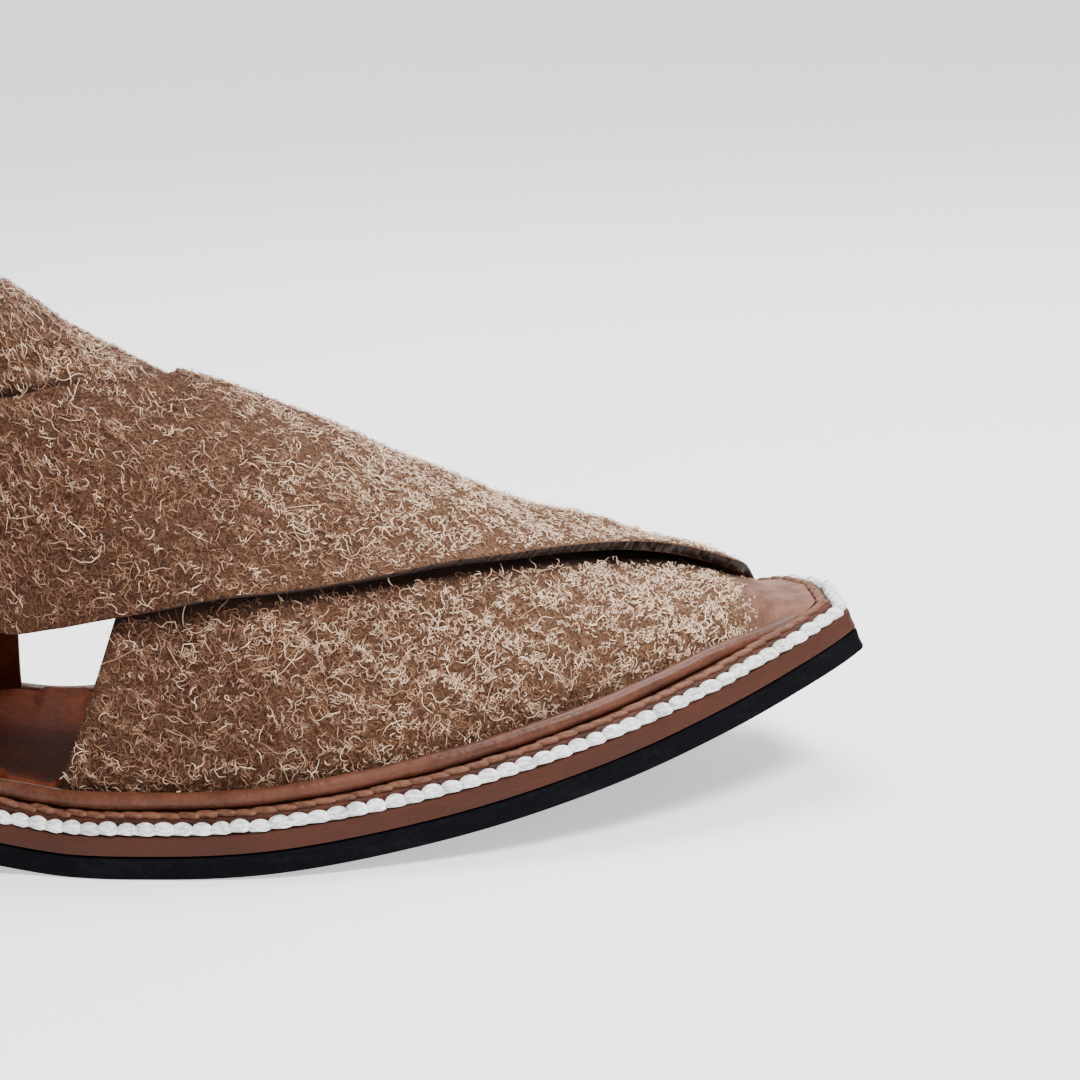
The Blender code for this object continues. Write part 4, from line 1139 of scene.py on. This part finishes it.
def strap_line():
    """Middle of the strap's inner face and the way up across it, from ear to ear."""
    ear = EAR_END * LENGTH - ORIGIN_X
    upright = np.array([0.0, 0.0, 1.0])
    places = []
    for ahead in (0.026, 0.013, 0.002):
        origin, _, up, out = ear_frame(1, ear + ahead)
        places.append((origin + out * (WALL + GAP), up))
    bulge = COUNTER_BULGE * smooth(COUNTER_SIDE, 1, STRAP_HEIGHT / COUNTER_HEIGHT)
    depth = FEATHER_INSET - bulge - 3 * GAP
    turn = np.append(0.12 * (1 - np.cos(np.linspace(0, math.pi / 2, 8))), 0.149)
    x = depth + (LENGTH - 2 * depth) * turn
    level = seat_level(x - ORIGIN_X) + STRAP_HEIGHT
    for side in (1, -1):
        y = side * half_width(side, depth, INNER_CORNER, x) - ORIGIN_Y
        round_heel = [(np.array(p), upright) for p in zip(x - ORIGIN_X, y, level)]
        places += round_heel[::-1] if side > 0 else round_heel[1:]
    origin, along, up, out = ear_frame(-1, ear)
    over_ear = 2 * WALL - LAP_SINK + GAP
    for behind, drop in ((0.015, 0.0016), (0.007, 0.0004), (0.0, 0.0)):
        places.append((origin + along * behind + out * (over_ear - drop), up))
    for ahead in (0.009, 0.018, 0.027):
        origin, _, up, out = ear_frame(-1, ear + ahead)
        places.append((origin + out * over_ear, up))
    middle, up = (np.array(v) for v in zip(*places))
    return through(middle), through(up)


HEEL_CENTRE_X = -0.07


def strap_stitches(name, across, pitch, size, finish, start=0.0, stop=1.0):
    """A row of stitches along the strap's outer face, at a height above its middle."""
    middle, up = strap_line()
    line = middle + up * across
    along = unit(np.gradient(line, axis=0))
    out = unit(np.cross(along, up))
    outwards = (line - [HEEL_CENTRE_X, 0.0, 0.0]) * [1.0, 1.0, 0.0]
    out *= np.sign(np.sum(out * outwards, axis=1, keepdims=True))
    line = line + out * STRAP_THICKNESS
    run = run_of(line)
    at = np.arange(start * run[-1] + 0.003, stop * run[-1] - 0.002, pitch)
    here, ahead, off = (between(at, run, values) for values in (line, along, out))
    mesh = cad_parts["ankle_strap"].data
    tree = BVHTree.FromPolygons([v.co for v in mesh.vertices], [f.vertices for f in mesh.polygons])
    for i, point in enumerate(here + off * 0.001):
        place, normal, _, _ = tree.find_nearest(point)
        here[i] = place + normal * 0.00004
        off[i] = normal
    return stitches(name, here, ahead, off, size, 0, finish, 2.2, around=10, rings=5)


rounded_copy("ankle_strap", "buckled_strap", 0.00065, 3, STRAP_LEATHER, "rough_suede")
for edge, across in (("lower", -STRAP_STITCH_EDGE), ("upper", STRAP_STITCH_EDGE)):
    row = strap_stitches("strap_%s_stitches" % edge, across, STRAP_STITCH_PITCH,
                         (0.00120, 0.00040, 0.00036), TAN_THREAD)
    stands_for(row, "rough_suede")
holes = strap_stitches("strap_holes", 0.0, STRAP_HOLE_PITCH, (0.00085, 0.00085, 0.00010), CUT_EDGE,
                       0.835, 0.985)
stands_for(holes, "rough_suede")
rounded_copy("strap_keeper", "leather_keeper", 0.00030, 5, RAND_LEATHER, "welt_leather")
rounded_copy("buckle_frame", "brass_frame", 0.00020, 8, BRASS, "buckle_brass")
rounded_copy("buckle_prong", "brass_prong", 0.00016, 6, BRASS, "buckle_brass")

# %% [markdown]
# ## The hair of the hide
# The flesh side is combed up until its fibres stand in a tangle. Each strand here is a
# thin ribbon of real geometry that runs over the leather, so that strands cross, cast
# small shadows and stick out at the silhouette, which no bump can do.

# %% Strands of hair
def sample(grid, u, v):
    """Value of a grid between its points."""
    i = np.clip(u.astype(int), 0, grid.shape[0] - 2)
    j = np.clip(v.astype(int), 0, grid.shape[1] - 2)
    f = np.clip(u - i, 0, 1)
    g = np.clip(v - j, 0, 1)
    if grid.ndim == 3:
        f, g = f[:, None], g[:, None]
    near = grid[i, j] * (1 - g) + grid[i, j + 1] * g
    far = grid[i + 1, j] * (1 - g) + grid[i + 1, j + 1] * g
    return near * (1 - f) + far * f


def comb(name, skin, count, length, rise, width, steps, seed, curl, light, margin):
    """One mesh of strands over a skin: a grid of points with its outward directions."""
    rng = np.random.default_rng(seed)
    point, out = skin["point"], skin["out"]
    along = np.linalg.norm(np.diff(point, axis=0), axis=-1)
    around = np.linalg.norm(np.diff(point, axis=1), axis=-1)
    step_u = np.pad(along, ((0, 1), (0, 0)), mode="edge")
    step_v = np.pad(around, ((0, 0), (0, 1)), mode="edge")
    area = step_u * step_v * np.clip((skin["inside"] - margin) / 0.0004, 0, 1)
    area = area * np.clip(0.62 + 0.55 * skin["clump"], 0.06, 2) * skin["hairy"]
    area = area[:-1, :-1].ravel()
    cell = rng.choice(area.size, count, p=area / area.sum())
    u = cell // (point.shape[1] - 1) + rng.uniform(0, 1, count)
    v = cell % (point.shape[1] - 1) + rng.uniform(0, 1, count)
    heading = rng.uniform(0, 2 * math.pi, count)
    whole = length * np.exp(0.38 * rng.standard_normal(count))
    bend = rng.normal(0, 1, count) * curl
    wave = rng.normal(0, 1, count) * curl * 0.6
    crest = rise * np.abs(rng.standard_normal(count)) + rise * 0.25
    free = rng.uniform(0, 1, count) ** 3 * rise * 1.6
    wide = width * rng.uniform(0.55, 1.25, count)
    roll = rng.normal(0, 0.6, count)
    phase = rng.uniform(0, 6.28, count)
    if "short" in skin:
        whole = whole * sample(skin["short"], u, v)
    line = []
    normals, start_tone = sample(out, u, v), sample(skin["tone"], u, v)
    for k in range(steps):
        t = k / (steps - 1)
        height = crest * math.sin(math.pi * (0.08 + 0.80 * t)) + free * t ** 2
        line.append(sample(point, u, v) + sample(out, u, v) * height[:, None])
        turn = heading + bend * t + wave * np.sin(2 * math.pi * t + phase)
        past = sample(skin["inside"], u, v) < 0.0002
        stride = whole / (steps - 1) * np.where(past, 0.15, 1.0)
        u = u + np.cos(turn) * stride / np.maximum(sample(step_u, u, v), 1e-5)
        u = np.clip(u, 0, point.shape[0] - 1)
        v = v + np.sin(turn) * stride / np.maximum(sample(step_v, u, v), 1e-5)
        v = np.clip(v, 0, point.shape[1] - 1)
    line = np.stack(line, axis=1)
    way = unit(np.gradient(line, axis=1))
    face = normals[:, None, :] + np.cross(way, normals[:, None, :]) * roll[:, None, None]
    side = unit(np.cross(way, face))
    taper = np.interp(np.linspace(0, 1, steps), (0, 0.2, 0.8, 1), (0.6, 1, 0.9, 0.3))
    half = (wide[:, None] * taper[None, :] / 2)[..., None]
    points = np.stack([line - side * half, line + side * half], axis=2).reshape(-1, 3)
    first = (np.arange(count) * steps * 2)[:, None] + (np.arange(steps - 1) * 2)[None, :]
    faces = np.stack([first, first + 1, first + 3, first + 2], axis=-1).reshape(-1, 4)
    thing = add_mesh(name, points, faces, [HAIR])
    # Strand tone: painted light on strands that arch higher off the leather, a random spread, and the tone of
    # the leather below with its painted light and painted shade.
    tone = 0.22 + light + 0.20 * crest / rise + 0.20 * rng.standard_normal(count) + start_tone
    mark_points(thing, "tone", np.repeat(np.clip(tone, 0, 1), steps * 2))
    return thing


for skin in (UNDER, OVER):
    # Strand tone follows the painted light of the leather below: lighter high up and towards the toe.
    wear = painted_light_of(skin["s"], skin["a"])
    skin["clump"] = waves(skin["point"], 0.0042, 12)
    skin["tone"] = 0.56 * wear - 0.12 + 0.08 * waves(skin["point"], 0.030, 11) + 0.09 * skin["clump"]
    # Painted light: strands lighter towards the toe.
    skin["tone"] += 0.16 * np.clip((skin["s"] - 0.66) / 0.24, 0, 1)
    skin["short"] = 1.0 - 0.40 * np.clip((skin["s"] - 0.55) / 0.3, 0, 1)
    skin["hairy"] = np.clip((0.930 - skin["s"]) / 0.03, 0, 1)
# Painted light: the upper strap's strands lighter still towards its front.
OVER["tone"] += 0.20 * np.clip((OVER["s"] - 0.60) / 0.20, 0, 1)
# Painted shade along the upper strap's edge: no hair there, and darker strands near it.
lap = painted_lap_shade(UNDER["s"], UNDER["a"])
UNDER["hairy"] = UNDER["hairy"] * (lap < 0.75)
UNDER["tone"] = UNDER["tone"] + 0.06 - 0.08 * painted_light_of(UNDER["s"], UNDER["a"]) - 0.30 * lap
ROUND_HEEL["clump"] = waves(ROUND_HEEL["point"], 0.0042, 13)
HAIR_TOP = STRAP_LEVEL - STRAP_WIDTH / 2 + 0.0015
ROUND_HEEL["hairy"] = np.clip((HAIR_TOP - ROUND_HEEL["point"][..., 2]) / 0.001, 0, 1)
ROUND_HEEL["tone"] = 0.06 * waves(ROUND_HEEL["point"], 0.030, 11) + 0.09 * ROUND_HEEL["clump"] - 0.02

# Kind, count, length, rise off the leather, width, points, curl, tone and margin to the edge.
STRANDS = (
    ("fuzz", 15000, 0.0016, 0.00022, 0.00020, 4, 2.0, -0.05, 0.0),
    ("hair", 13500, 0.0024, 0.00034, 0.00017, 5, 2.8, 0.04, 0.0008),
    ("long_hair", 420, 0.0055, 0.00050, 0.00014, 10, 1.6, 0.22, 0.0008),
)
COATS = (("upper_strap", OVER, 1.0, 21), ("lower_strap", UNDER, 0.92, 31), ("counter", ROUND_HEEL, 0.36, 41))
for name, skin, share, first_seed in COATS:
    for seed, (kind, count, long, rise, width, steps, curl, light, margin) in enumerate(STRANDS, first_seed):
        strands = comb("%s_%s" % (name, kind), skin, int(count * share), long, rise, width, steps, seed,
                       curl, light, margin)
        stands_for(strands, "rough_suede")

# %% [markdown]
# ## Stage, light and camera
# A pale floor and soft light, with the camera where the photo was taken from: low, from
# the outer side, close to the toe, and rolled a little.

# %% Floor, light and camera
def make_floor():
    """Pale floor that curves up far behind."""
    turn = np.linspace(0, math.pi / 2, 12)
    bend = [(1.6 + math.sin(t), 1 - math.cos(t)) for t in turn[1:]]
    profile = [(-4.0, 0.0), (1.6, 0.0), *bend, (2.6, 5.0)]
    points = [(x, y, z) for y, z in profile for x in (-6.0, 6.0)]
    faces = [(2 * i, 2 * i + 1, 2 * i + 3, 2 * i + 2) for i in range(len(profile) - 1)]
    f = Finish("pale_floor", Roughness=0.6, Specular_IOR_Level=0.2, Emission_Color=(1, 1, 1, 1),
               Emission_Strength=0.75)
    colour = f.mix(f.noise(0.5, 2.0), (0.84, 0.84, 0.84), (0.88, 0.88, 0.88))
    return add_mesh("floor", points, faces, [f.feed(Base_Color=colour)])


make_floor()


def area_light(name, place, aim, size, power):
    """A large soft light that looks at a point."""
    data = bpy.data.lights.new(name, "AREA")
    data.shape = "DISK"
    data.size = size
    data.energy = power
    lamp = bpy.data.objects.new(name, data)
    lamp.location = place
    lamp.rotation_euler = (Vector(aim) - Vector(place)).to_track_quat("-Z", "Y").to_euler()
    bpy.context.scene.collection.objects.link(lamp)


area_light("key", (0.55, -0.50, 1.05), (0.03, 0, 0.03), 0.40, 25.0)
area_light("top", (0.15, 0.45, 1.20), (0.05, 0, 0.03), 0.6, 19.0)
area_light("front", (-0.30, -1.20, 0.50), (0.05, 0, 0.03), 0.9, 4.0)
world = bpy.data.worlds.new("studio")
world.use_nodes = True
sky = world.node_tree.nodes["Background"]
sky.inputs["Color"].default_value = (1, 1, 1, 1)
sky.inputs["Strength"].default_value = 0.36
bpy.context.scene.world = world

AZIMUTH, ELEVATION, ROLL = (math.radians(v) for v in (-3.168, 13.361, -2.794))
AIM = Vector((0.22779 - ORIGIN_X, -0.0400 - ORIGIN_Y, 0.05646))
DISTANCE = 0.459
FOCAL_LENGTH = 86.32
SENSOR_WIDTH = 36.0
back = Vector((math.sin(AZIMUTH) * math.cos(ELEVATION), -math.cos(AZIMUTH) * math.cos(ELEVATION),
               math.sin(ELEVATION)))
right = Vector((math.cos(AZIMUTH), math.sin(AZIMUTH), 0.0))
up = back.cross(right)
rolled_right = right * math.cos(ROLL) + up * math.sin(ROLL)
rolled_up = up * math.cos(ROLL) - right * math.sin(ROLL)
lens = bpy.data.cameras.new("photo_camera")
lens.sensor_width = SENSOR_WIDTH
lens.lens = FOCAL_LENGTH
lens.clip_start = 0.01
camera = bpy.data.objects.new("photo_camera", lens)
turn = Matrix((rolled_right, rolled_up, back)).transposed().to_4x4()
camera.matrix_world = Matrix.Translation(AIM + back * DISTANCE) @ turn
bpy.context.scene.collection.objects.link(camera)
bpy.context.scene.camera = camera
print("camera at", [round(v, 3) for v in camera.matrix_world.translation])

# %% Finish
pieces = [thing for thing in bpy.context.scene.objects if thing.type == "MESH" and not thing.hide_render]
for thing in pieces:
    thing.data.calc_loop_triangles()
print("pieces", len(pieces), "triangles", sum(len(thing.data.loop_triangles) for thing in pieces))
